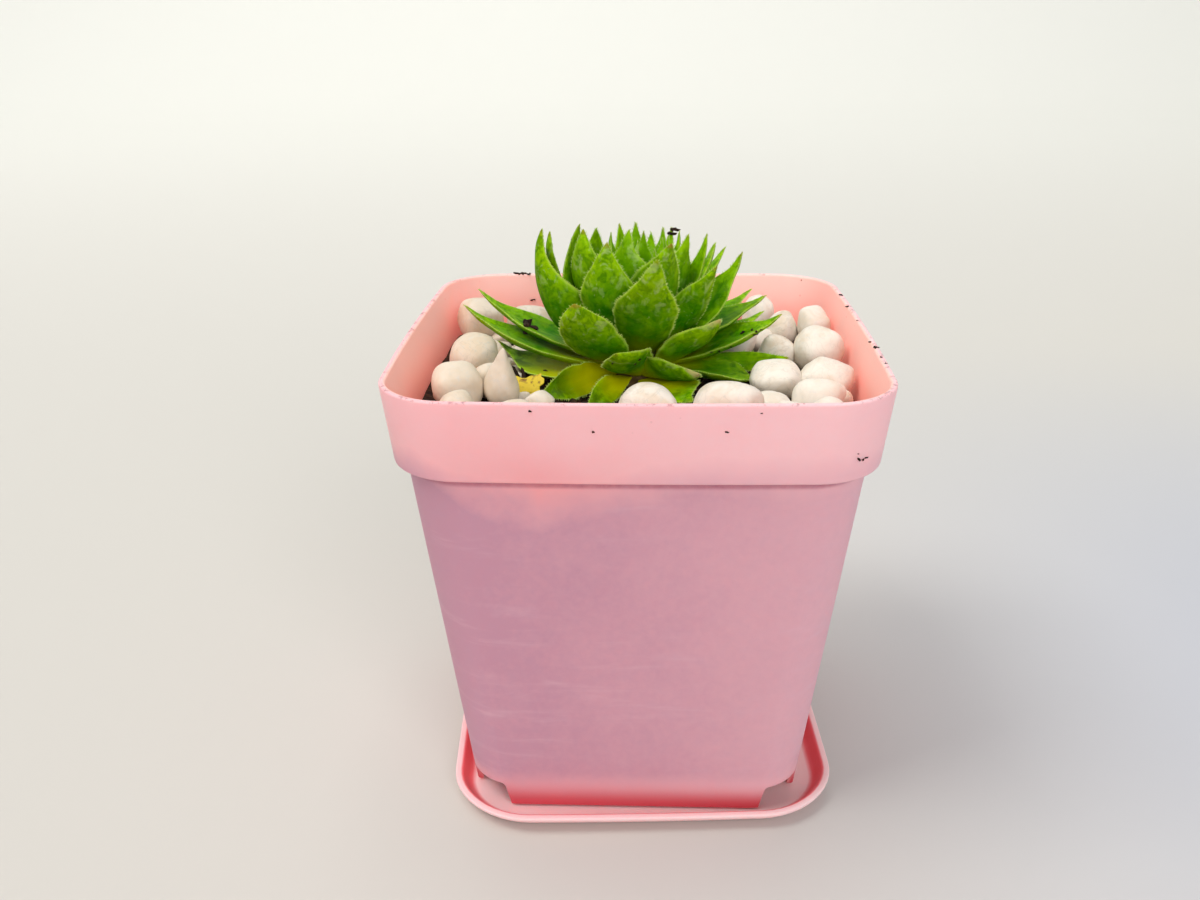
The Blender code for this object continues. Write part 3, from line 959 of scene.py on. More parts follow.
class Moulding:
    """Turns a profile of stations into the skin of a square moulded piece."""

    CORNER_STEPS = 12
    SIDE_STEPS = 16
    SOFT_STEPS = 4
    LEAST_RADIUS = 0.5
    LONGEST_ARM = 0.45

    @classmethod
    def soften(cls, stations: Sequence[Station]) -> list[np.ndarray]:
        """Rounds each corner of the profile.

        Args:
            stations: The profile, from its first end to its last.

        Returns:
            The numbers of each ring.
        """
        rings = [stations[0].numbers()]
        for before, here, after in zip(stations, stations[1:], stations[2:]):
            corner = here.numbers()
            arms = []
            for other in (before, after):
                arm = other.numbers() - corner
                reach = math.hypot(arm[0], arm[3])
                arms.append(arm * min(cls.LONGEST_ARM, here.soft / reach))
            for share in np.linspace(0, 1, cls.SOFT_STEPS + 1):
                bend = (1 - share) ** 2 * arms[0] + share**2 * arms[1]
                rings.append(corner + bend)
        rings.append(stations[-1].numbers())
        return rings

    @classmethod
    def outline(cls, half: float, radius: float, swell: float) -> np.ndarray:
        """A square with round corners, whose sides stand out by the swell.

        Args:
            half: Half its width.
            radius: Its corner radius.
            swell: How far the middle of a side stands out.

        Returns:
            Its points, anticlockwise.
        """
        points = []
        for quarter in range(4):
            turn = np.array(Matrix.Rotation(quarter * math.pi / 2, 2))
            for angle in np.linspace(0, math.pi / 2, cls.CORNER_STEPS + 1):
                offset = radius * np.array([math.cos(angle), math.sin(angle)])
                points.append(turn @ (np.array([half - radius] * 2) + offset))
            for share in np.linspace(1, -1, cls.SIDE_STEPS + 1)[1:-1]:
                points.append(turn @ np.array([share * (half - radius), half]))
        flat = np.array(points)
        share = np.abs(flat) / half
        lift = swell * share**6 * (1 - share[:, ::-1] ** 2).clip(0)
        return flat + np.copysign(lift, flat)

    @classmethod
    def ring(cls, half: float, radius: float, swell: float, z: float) -> np.ndarray:
        """The points of one ring in metres, from the four numbers of a station."""
        flat = cls.outline(half, radius, swell)
        return np.column_stack([flat, np.full(len(flat), z)]) * MM

    @classmethod
    def skin(cls, name: str, stations: Sequence[Station]) -> bpy.types.Object:
        """Builds the piece, upright about the Z axis.

        Args:
            name: Its name.
            stations: Its profile.

        Returns:
            The piece.
        """
        rings = [
            cls.ring(half, max(radius, cls.LEAST_RADIUS), swell, z)
            for half, radius, swell, z in cls.soften(stations)
        ]
        return Bench.loft(name, np.array(rings))

    @staticmethod
    def mark_inside(piece: bpy.types.Object) -> None:
        """Marks the points whose skin faces the piece's own axis, as its attribute inner.

        Args:
            piece: The moulded piece.
        """
        count = len(piece.data.vertices)
        points, normals = np.zeros(count * 3, np.float32), np.zeros(count * 3, np.float32)
        piece.data.vertices.foreach_get("co", points)
        piece.data.vertex_normals.foreach_get("vector", normals)
        flat = (points.reshape(-1, 3) * normals.reshape(-1, 3))[:, :2].sum(1)
        Bench.mark(piece, "inner", ease(0.0, -0.02, flat))


@dataclass
class Pot:
    """A tapered square tub with a deeper collar at its mouth and four feet. Millimetres."""

    mouth_half: float = 45.0
    top: float = 94.6
    collar_height: float = 15.3
    collar_foot_half: float = 43.5
    ledge: float = 1.8
    wall: float = 1.2
    foot_half: float = 33.7
    foot_bottom: float = 1.5
    floor_underside: float = 7.5
    floor_thickness: float = 1.4
    mouth_radius: float = 12.2
    foot_radius: float = 10.2
    mouth_swell: float = 1.2
    notch_top: float = 7.1
    notch_in: float = 25.5
    notch_slope: float = 1.2
    notch_reach: float = 12.0
    notch_round: float = 0.8
    floor_ring: float = 6.0
    drain_radius: float = 3.0
    drain_spread: float = 15.0
    finish: MouldedPink = MouldedPink(
        "dusty_pink_plastic", film_low=3.0, film_high=80.0, speck_from=91.5, crease=79.4
    )

    @property
    def collar_foot(self) -> float:
        """The height of the collar's lower edge."""
        return self.top - self.collar_height

    @property
    def floor(self) -> float:
        """The height of the floor's upper face."""
        return self.floor_underside + self.floor_thickness

    def body_half(self, z: float) -> float:
        """Half the body's outside width at a height."""
        share = (z - self.foot_bottom) / (self.collar_foot - self.foot_bottom)
        return self.foot_half + share * (self.collar_foot_half - self.ledge - self.foot_half)

    def collar_half(self, z: float) -> float:
        """Half the collar's outside width at a height."""
        share = (self.top - z) / self.collar_height
        return self.mouth_half + share * (self.collar_foot_half - self.mouth_half)

    def station(self, outside: float, inset: float, z: float, soft: float) -> Station:
        """A corner of the pot's profile.

        Args:
            outside: Half the outside width there.
            inset: How far inside the outside face it is.
            z: Its height.
            soft: How softly it is rounded.

        Returns:
            The station.
        """
        share = (z - self.foot_bottom) / (self.top - self.foot_bottom)
        radius = self.foot_radius + share * (self.mouth_radius - self.foot_radius)
        return Station(outside - inset, radius - inset, self.mouth_swell * share, z, soft)

    def profile(self) -> list[Station]:
        """The wall's profile, from under the floor round the outside to the floor's upper face.

        Returns:
            Its corners.
        """
        edge, wall, under = self.collar_foot, self.wall, self.floor_underside
        step = edge + wall
        return [
            self.station(self.body_half(under), wall + self.floor_ring, under, 0),
            self.station(self.body_half(under), wall, under, 0.6),
            self.station(self.foot_half, wall, self.foot_bottom, 0.35),
            self.station(self.foot_half, 0, self.foot_bottom, 0.5),
            self.station(self.body_half(edge), 0, edge, 0.35),
            self.station(self.collar_foot_half, 0, edge, 0.5),
            self.station(self.mouth_half, 0, self.top, 0.5),
            self.station(self.mouth_half, wall, self.top, 0.5),
            self.station(self.collar_half(step + 0.5), wall, step + 0.5, 0.4),
            self.station(self.body_half(edge), wall, step, 0.4),
            self.station(self.body_half(self.floor), wall, self.floor, 2.0),
            self.station(self.body_half(self.floor), wall + self.floor_ring, self.floor, 0),
        ]

    @staticmethod
    def corner(turn: int, spot: Vector) -> Vector:
        """A spot near the first corner, turned to one of the four corners."""
        return Matrix.Rotation(turn * math.pi / 2, 3, "Z") @ spot

    def corner_notch(self, turn: int) -> bpy.types.Object:
        """The block that parts two feet at a corner.

        Args:
            turn: Which corner, 0 to 3.

        Returns:
            The block.
        """
        reach = self.notch_reach
        middle = self.notch_in + reach
        height = (self.notch_top + self.foot_bottom) / 2 - 1
        spot = self.corner(turn, Vector((middle, middle, height)))
        block = Bench.add(
            f"notch_{turn}",
            "cone",
            vertices=4,
            radius1=(reach + self.notch_slope / 2) * math.sqrt(2) * MM,
            radius2=(reach - self.notch_slope) * math.sqrt(2) * MM,
            depth=(self.notch_top - self.foot_bottom + 2) * MM,
            location=spot * MM,
            rotation=(0, 0, math.pi / 4),
        )
        with Bench.editing():
            bpy.ops.mesh.bevel(offset=self.notch_round * MM, segments=3)
        return block

    def drain_hole(self, turn: int) -> bpy.types.Object:
        """The plug that a drain hole is cut with.

        Args:
            turn: Which hole, 0 to 3.

        Returns:
            The plug.
        """
        spread = self.drain_spread
        spot = self.corner(turn, Vector((spread, spread, self.floor_underside)))
        sizes = {"vertices": 32, "radius": self.drain_radius * MM, "depth": 6 * MM}
        return Bench.add(f"drain_{turn}", "cylinder", location=spot * MM, **sizes)

    def build(self) -> bpy.types.Object:
        """Moulds the pot, cuts its notches and holes, and dresses it.

        Returns:
            The pot.
        """
        pot = Moulding.skin("square_pot", self.profile())
        for turn in range(4):
            for tool in (self.corner_notch(turn), self.drain_hole(turn)):
                Bench.modify(pot, "BOOLEAN", object=tool, operation="DIFFERENCE", solver="EXACT")
                bpy.data.objects.remove(tool, do_unlink=True)
        Bench.smooth(pot, angle=35)
        Moulding.mark_inside(pot)
        Bench.mount(pot, "pot_pink", "pot", look=self.finish.material())
        return pot


@dataclass
class Saucer:
    """The shallow square dish under the pot, with a flat lip. Millimetres."""

    half: float = 39.6
    height: float = 4.0
    floor: float = 1.2
    radius: float = 16.0
    swell: float = 0.7
    at: tuple[float, float] = (0.4, 0.3)
    turn: float = 3.0
    finish: MouldedPink = MouldedPink(
        "glossy_pink_plastic",
        film_low=-30.0,
        film_high=-12.0,
        speck_from=60.0,
        crease=-40.0,
        plastic=paint(255, 200, 202),
        pale=paint(255, 212, 212),
        # Inside, painted shade under the pot.
        inside=paint(240, 124, 132),
        painted_translucence=paint(236, 104, 110),
    )

    def profile(self) -> list[Station]:
        """The dish's profile, from under its middle to the upper face of its floor.

        Returns:
            Its corners, from each one's inset, height and softness.
        """
        shape = (
            (9.0, 0.0, 0.0),
            (3.5, 0.0, 0.9),
            (0.3, self.height - 1.0, 0.5),
            (0.0, self.height - 0.5, 0.2),
            (0.1, self.height, 0.3),
            (1.6, self.height, 0.5),
            (3.1, self.floor, 1.2),
            (9.0, self.floor, 0.0),
        )
        return [
            Station(self.half - inset, self.radius - inset, self.swell, z, soft)
            for inset, z, soft in shape
        ]

    def build(self) -> bpy.types.Object:
        """Moulds the dish, sets it down under the pot and dresses it.

        Returns:
            The saucer.
        """
        saucer = Moulding.skin("square_saucer", self.profile())
        saucer.location = (self.at[0] * MM, self.at[1] * MM, 0)
        saucer.rotation_euler = (0, 0, math.radians(self.turn))
        Bench.settle(saucer)
        Bench.smooth(saucer, angle=35)
        Moulding.mark_inside(saucer)
        Bench.mount(saucer, "saucer_pink", "saucer", look=self.finish.material())
        return saucer


# ---------------------------------------------------------------- soil, stem and gravel


@dataclass
class SoilBed:
    """The soil that fills the pot, crumbly on top. Millimetres."""

    pot: Pot
    top: float = 82.0
    inset: float = 0.35
    top_rings: int = 44
    clumps: Sequence[tuple[float, float]] = ((9.0, 1.1), (2.6, 0.9), (1.0, 0.45))
    crumb_count: int = 1300
    crumb_least: float = 0.35
    crumb_extra: float = 0.9
    crumb_margin: float = 2.0
    finish: PottingSoil = PottingSoil("damp_potting_soil")

    def sections(self) -> np.ndarray:
        """The bed's rings, from its underside up its sides and inwards over its top.

        Returns:
            The rings' points in metres.
        """
        pot, inset = self.pot, self.pot.wall + self.inset
        floor, ledge = pot.floor + self.inset, pot.collar_foot + pot.wall
        walls = [
            pot.station(pot.body_half(floor), inset + 2, floor, 0.6),
            pot.station(pot.body_half(floor), inset, floor + 1, 0.6),
            pot.station(pot.body_half(ledge - 1), inset, ledge, 0.3),
            pot.station(pot.collar_half(ledge), inset, ledge + 0.3, 0.3),
            pot.station(pot.collar_half(self.top), inset, self.top, 0.3),
        ]
        rings = [(*station.numbers(),) for station in walls]
        half, radius, swell, z = rings[-1]
        for share in np.linspace(1, 0, self.top_rings + 1)[1:-1]:
            rounder = half * share * (1 - share) + radius * share
            rings.append((half * share, rounder, swell * share, z))
        return np.array([Moulding.ring(*ring) for ring in rings])

    def build_bed(self) -> bpy.types.Object:
        """Fills the pot and roughens the top.

        Returns:
            The bed.
        """
        bed = Bench.loft("soil_bed", self.sections())
        upper = bed.vertex_groups.new(name="upper")
        for vert in bed.data.vertices:
            if vert.co.z > (self.top - 0.1) * MM:
                upper.add([vert.index], 1.0, "REPLACE")
        for number, (grain, depth) in enumerate(self.clumps):
            cloud = bpy.data.textures.new(f"soil_clumps_{number}", "CLOUDS")
            cloud.noise_scale = grain * MM
            cloud.noise_depth = 2
            Bench.modify(bed, "DISPLACE", texture=cloud, direction="Z", strength=depth * MM,
                         mid_level=0.5, texture_coords="LOCAL", vertex_group="upper")
        Bench.smooth(bed, angle=60)
        Bench.mount(bed, "soil_dark", "soil", look=self.finish.material())
        return bed

    def build_crumbs(self) -> bpy.types.Object:
        """Strews crumbs over the top.

        Returns:
            The crumbs.
        """
        draw = np.random.default_rng(Seed.CRUMBS)
        half = self.pot.collar_half(self.top) - self.pot.wall - self.crumb_margin
        places, tones = [], []
        while len(places) < self.crumb_count:
            x, y = draw.uniform(-half, half, 2)
            if max(abs(x), abs(y)) + min(abs(x), abs(y)) * 0.42 > half * 1.3:
                continue
            size = self.crumb_least + self.crumb_extra * draw.random() ** 3
            sizes = Vector((size * draw.uniform(0.8, 1.9), size, size * 0.75)) * MM
            turn = Matrix.Rotation(draw.uniform(0, 2 * math.pi), 4, "Z")
            turn = turn @ Matrix.Rotation(draw.uniform(-0.6, 0.6), 4, "X")
            spot = Vector((x, y, self.top + draw.uniform(-0.1, 0.55))) * MM
            places.append(Bench.stand(spot, turn, sizes))
            tones.append(draw.random())
        crumb = Bench.add("crumb", "ico_sphere", subdivisions=1, radius=1.0)
        for vert in crumb.data.vertices:
            vert.co *= draw.uniform(0.7, 1.15)
        crumbs = Bench.scatter("soil_crumbs", crumb, places, tones)
        Bench.mount(crumbs, "soil_dark", look=self.finish.material())
        return crumbs


@dataclass
class Stem:
    """The short stem under the rosette, on a tapering root. Millimetres, up the stem's own axis."""

    foot: Vector = field(default_factory=lambda: Vector((0.3, 1.5, 84.3)))
    lean: Vector = field(default_factory=lambda: Vector((0.10, 0.03, 1.0)).normalized())
    rise: float = 15.0
    soil_top: float = 82.0
    root_depth: float = 11.0
    sides: int = 28
    rings: int = 40
    finish: StemBark = StemBark("stem_skin")

    def frame(self) -> Matrix:
        """The matrix that stands the stem up, in metres."""
        turn = Vector((0, 0, 1)).rotation_difference(self.lean)
        return Matrix.Translation(self.foot * MM) @ turn.to_matrix().to_4x4()

    @staticmethod
    def reach(rank: float) -> float:
        """How far from the stem's axis the midrib of a leaf of this rank starts."""
        return 0.6 + 5.2 * rank**0.8

    def profile(self) -> list[tuple[float, float]]:
        """Its radius and height, from the root's end to its top.

        Returns:
            The pairs.
        """
        below = self.soil_top - self.foot.z
        return [
            (0.2, below - self.root_depth + 1.0),
            (1.4, below - self.root_depth + 1.1),
            (3.2, below - 5.0),
            (3.9, below),
            (4.3, 0.0),
            (3.6, 0.25 * self.rise),
            (2.6, 0.45 * self.rise),
            (1.5, 0.62 * self.rise),
            (0.2, 0.64 * self.rise),
        ]

    def build(self) -> bpy.types.Object:
        """Makes the stem and plants it.

        Returns:
            The stem.
        """
        draw = np.random.default_rng(Seed.STEM)
        radii, heights = np.array(self.profile()).T
        z = np.linspace(heights[0], heights[-1], self.rings)
        radius = np.interp(z, heights, radii)
        turn = np.arange(self.sides) * 2 * math.pi / self.sides
        winding = np.sin(3 * turn[None] + 2.4 * z[:, None]) * ease(0.4, 2.0, radius)[:, None]
        knobs = 1 + 0.07 * winding
        knobs = knobs + draw.uniform(-0.03, 0.03, knobs.shape)
        ring = radius[:, None] * knobs
        level = np.broadcast_to(z[:, None], ring.shape)
        points = np.stack([ring * np.cos(turn), ring * np.sin(turn), level], -1)
        stand = np.array(self.frame())
        sections = points * MM @ stand[:3, :3].T + stand[:3, 3]
        stem = Bench.loft("stem_and_root", sections)
        Bench.smooth(stem, angle=50)
        Bench.mount(stem, "stem_bark", "stem", look=self.finish.material())
        return stem


@dataclass(frozen=True)
class Pinch:
    """One draw-in of an end of a rough block whose sides are 1 long: where along its way the end
    starts, the share of its width that it keeps, and how far it is pushed out."""

    start: float
    share: float
    push: float
    way: Triple = (0.15, 0.0, 1.0)


@dataclass(frozen=True)
class Make:
    """How finely a stone is rounded, and how far its block's corners are knocked about."""

    fineness: int
    knocks: float


@dataclass
class Gravel:
    """White pebbles laid over the soil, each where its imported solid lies, with small stones
    between them. Some pebbles' tops are raised over their solids', or lowered. Millimetres."""

    nodes: Sequence[str]
    soil_top: float = 82.0
    fullness: float = 1.07
    raised: dict[str, float] = field(
        default_factory=lambda: {
            "pebble_05": 1.2,
            "pebble_09": 1.2,
            "pebble_10": 1.5,
            "pebble_11": -1.8,
            "pebble_12": -1.2,
            "pebble_15": -0.4,
            "pebble_16": -1.2,
        }
    )
    pinches: dict[str, Sequence[Pinch]] = field(
        default_factory=lambda: {
            "white_pebble_05": (
                Pinch(start=0.1, share=0.62, push=0.08),
                Pinch(start=0.42, share=0.4, push=0.15),
            )
        }
    )
    rough: Make = Make(fineness=4, knocks=0.13)
    small: Make = Make(fineness=2, knocks=0.2)
    tries: int = 3600
    small_size: tuple[float, float] = (3.6, 7.4)
    small_reach: float = 39.5
    small_wall: float = 42.0
    small_corner: float = 52.0
    rosette_clear: float = 25.0
    spacing: float = 0.38
    seat: float = 0.36
    finish: TumbledStone = TumbledStone("white_tumbled_stone")

    def pebble(self, name: str, centre: Vector, size: Vector, seed: int, make: Make) -> bpy.types.Object:
        """Bevels a block, knocks its corners about, tumbles it smooth and roughens its skin.

        Args:
            name: Its name.
            centre: Its middle, in metres.
            size: Its size along X, Y and Z, in metres.
            seed: The seed of its shape.
            make: How it is made.

        Returns:
            The pebble.
        """
        draw = np.random.default_rng(seed)
        stone = Bench.add(name, "cube", size=1.0, rotation=draw.uniform(-0.5, 0.5, 3))
        Bench.settle(stone)
        with Bench.editing():
            bpy.ops.mesh.bevel(offset=draw.uniform(0.22, 0.3), segments=1)
            bpy.ops.transform.vertex_random(offset=make.knocks, seed=seed)
        for pinch in self.pinches.get(name, ()):
            self.draw_in(stone, pinch)
        Bench.modify(stone, "SUBSURF", levels=make.fineness, render_levels=make.fineness)
        self.fit(stone, centre, size)
        for grain, depth in ((4.6, 0.5), (1.6, 0.07)):
            cloud = bpy.data.textures.new(f"{name}_skin_{grain}", "CLOUDS")
            cloud.noise_scale = grain * MM
            Bench.modify(stone, "DISPLACE", texture=cloud, strength=depth * MM, mid_level=0.5,
                         texture_coords="LOCAL")
        Bench.mark(stone, "tone", draw.random())
        Bench.smooth(stone, angle=80)
        return stone

    @staticmethod
    def draw_in(stone: bpy.types.Object, pinch: Pinch) -> None:
        """Draws in one end of a rough block.

        Args:
            stone: The block.
            pinch: The draw-in.
        """
        way = Vector(pinch.way).normalized()
        ends = [vert for vert in stone.data.vertices if vert.co.dot(way) > pinch.start]
        middle = sum((vert.co for vert in ends), Vector()) / len(ends)
        for vert in ends:
            offset = vert.co - middle
            out = offset.dot(way) * (1 - pinch.share) + pinch.push
            vert.co = middle + offset * pinch.share + way * out

    @staticmethod
    def fit(stone: bpy.types.Object, centre: Vector, size: Vector) -> None:
        """Moves and scales a pebble to fill its place.

        Args:
            stone: The pebble.
            centre: The middle of its place, in metres.
            size: The size of its place, in metres.
        """
        points = Bench.points(stone)
        low, high = points.min(0), points.max(0)
        points = (points - (low + high) / 2) * (np.array(size) / (high - low)) + np.array(centre)
        Bench.move(stone, points)

    def small_spots(self, taken: Sequence[tuple[Vector, Vector]]) -> list[tuple[Vector, Vector]]:
        """Finds room for small stones between the pebbles.

        Args:
            taken: The pebbles' middles and sizes, in metres.

        Returns:
            The small stones' middles and sizes, in metres.
        """
        draw = np.random.default_rng(Seed.GAPS)
        full = [(spot.xy / MM, max(size.xy) / MM) for spot, size in taken]
        found = []
        for _ in range(self.tries):
            flat = Vector(draw.uniform(-self.small_reach, self.small_reach, 2))
            size = draw.uniform(*self.small_size)
            if not self.rosette_clear <= flat.length <= self.small_corner - size:
                continue
            if max(map(abs, flat)) > self.small_wall - size / 2:
                continue
            if any((flat - other).length < (size + width) * self.spacing for other, width in full):
                continue
            full.append((flat, size))
            shape = Vector((size, size * draw.uniform(0.68, 1.0), size * draw.uniform(0.55, 0.85)))
            found.append((Vector((*flat, self.soil_top + shape.z * self.seat)) * MM, shape * MM))
        return found

    def build(self) -> list[bpy.types.Object]:
        """Makes every pebble in its place, and the small stones between them.

        Returns:
            The pebbles and the small stones.
        """
        material = self.finish.material()
        stones, taken = [], []
        for number, node in enumerate(self.nodes):
            low, high = (Vector(corner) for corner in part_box(node))
            taken.append(((low + high) / 2, high - low))
            high.z += self.raised.get(node, 0.0) * MM
            size = (high - low) * self.fullness
            seed = Seed.PEBBLES + number
            stone = self.pebble(f"white_{node}", (low + high) / 2, size, seed, self.rough)
            Bench.mount(stone, "pebble_white", node, look=material)
            stones.append(stone)
        parts = [
            self.pebble(f"small_stone_{number:02d}", spot, size, Seed.SMALL_STONES + number, self.small)
            for number, (spot, size) in enumerate(self.small_spots(taken))
        ]
        chips = Bench.join("small_white_stones", parts)
        Bench.mount(chips, "pebble_white", look=material)
        return [*stones, chips]


# ---------------------------------------------------------------- rosette


class LeafAge(Enum):
    """How old a leaf is: its value is the name of a material slot in the record."""

    HEART = "heart_green"
    GROWN = "leaf_green"
    OLD = "old_leaf_green"


@dataclass(frozen=True)
class Leaf:
    """One leaf, in millimetres and degrees.

    It leaves the stem at the azimuth, by the rise above the level. On the way to its tip its
    midrib turns up by the curl and sideways by the sway, and its blade rolls about it by the
    roll. The rank is 0 at the heart and 1 at the foot of the stem. The point is how full its
    shoulders are, drawn how far its tip is drawn out, and the scar how much of its tip is dry."""

    name: str
    rank: float
    azimuth: float
    rise: float
    curl: float
    length: float
    width: float
    sway: float = 0.0
    roll: float = 0.0
    cup: float = 0.34
    point: float = 2.0
    drawn: float = 0.5
    age: LeafAge = LeafAge.GROWN
    scar: float = 0.0

    STEPS = 120
    WIDEST = 0.52

    def heading(self, share: np.ndarray) -> tuple[np.ndarray, np.ndarray, np.ndarray]:
        """The midrib's direction, the sideways direction and the upper face's normal.

        Args:
            share: Shares of the length.

        Returns:
            Three arrays of vectors.
        """
        rise = np.radians(self.rise + self.curl * share)[:, None]
        azimuth = np.radians(self.azimuth + self.sway * share)
        level = np.zeros_like(azimuth)
        out = np.stack([np.cos(azimuth), np.sin(azimuth), level], -1)
        side = np.stack([-np.sin(azimuth), np.cos(azimuth), level], -1)
        up = np.array([0.0, 0.0, 1.0])
        along = np.cos(rise) * out + np.sin(rise) * up
        normal = np.cos(rise) * up - np.sin(rise) * out
        turn = np.radians(self.roll * np.minimum(1, 2.5 * share))[:, None]
        return (
            along,
            side * np.cos(turn) + normal * np.sin(turn),
            normal * np.cos(turn) - side * np.sin(turn),
        )

    def midrib(self, stem: Stem, share: np.ndarray) -> np.ndarray:
        """Where the midrib runs.

        Args:
            stem: The stem that the leaf grows on.
            share: Shares of the length.

        Returns:
            Its points in millimetres.
        """
        angle = math.radians(self.azimuth)
        foot = stem.foot + stem.lean * stem.rise * (1 - self.rank)
        foot = foot + stem.reach(self.rank) * Vector((math.cos(angle), math.sin(angle), 0))
        middles = (np.arange(self.STEPS) + 0.5) / self.STEPS
        along = self.heading(middles)[0] * self.length / self.STEPS
        path = np.vstack([np.zeros(3), np.cumsum(along, 0)]) + np.array(foot)
        ends = np.arange(self.STEPS + 1) / self.STEPS
        return np.stack([np.interp(share, ends, path[:, axis]) for axis in range(3)], -1)

    def half_width(self, share: np.ndarray) -> np.ndarray:
        """Half the blade's width: narrow at the foot, widest past the middle, drawn out at the tip.

        Args:
            share: Shares of the length.

        Returns:
            Half widths in millimetres.
        """
        widest, rest = self.WIDEST, 1 - self.WIDEST
        low = 0.5 + 0.5 * np.sin(math.pi / 2 * np.minimum(share, widest) / widest)
        high = 1 - (np.clip(share - widest, 0, rest) / rest) ** self.point
        draw_in = 1 - self.drawn * ease(0.54, 0.88, share)
        return np.maximum(np.where(share < widest, low, high) * draw_in * self.width / 2, 0.02)

    def thickness(self, share: np.ndarray) -> np.ndarray:
        """Half the blade's thickness at its midrib.

        Args:
            share: Shares of the length.

        Returns:
            Half thicknesses in millimetres.
        """
        thickest = (1.0 + min(1.0, 2.5 * self.rank)) / 2
        low = 0.6 + 0.4 * np.sin(math.pi * share)
        high = 1 - 0.8 * np.clip(2 * share - 1, 0, 1) ** 1.5
        return np.minimum(thickest * np.where(share < 0.5, low, high), self.half_width(share) * 0.8)

    def surface(self, stem: Stem, share: np.ndarray, turn: np.ndarray, seed: int = 0) -> np.ndarray:
        """Points of the skin.

        Args:
            stem: The stem that the leaf grows on.
            share: Shares of the length, one for each ring.
            turn: Angles round the section in radians: 0 at one margin, a quarter turn on the
                upper face.
            seed: The seed of the blade's small waves.

        Returns:
            The points in millimetres: rings, angles, 3.
        """
        phase = np.random.default_rng(seed).uniform(0, 2 * math.pi, 6)
        point = self.midrib(stem, share)[:, None]
        _, side, normal = (vectors[:, None] for vectors in self.heading(share))
        s = share[:, None]
        half = self.half_width(share)[:, None]
        thick = self.thickness(share)[:, None]
        u, v = np.cos(turn)[None], np.sin(turn)[None]
        wave = 0.022 * np.sin(17 * s + phase[0] + 2 * np.sign(u))
        wave = wave + 0.015 * np.sin(41 * s + phase[1] + np.sign(u))
        reach = half * u * (1 + wave * np.abs(u))
        lens = v * (0.72 + 0.28 * v * v)
        furrow = np.where(v > 0, -0.16, 0.10) * np.exp(-((u / 0.22) ** 2))
        furrow = furrow * ease(0.05, 0.3, s) * (1 - ease(0.75, 0.95, s))
        lift = self.cup * half * u * u + thick * (lens + furrow)
        ripple = 0.10 * np.sin(9 * s + 2.5 * u + phase[2]) + 0.05 * np.sin(23 * s - 4 * u + phase[3])
        lift = lift + ripple * ease(0.1, 0.4, s) * (1 - ease(0.85, 1.0, s))
        hook = 0.35 * ease(0.86, 1.0, s) * thick.max()
        return point + side * reach[..., None] + normal * (lift + hook)[..., None]


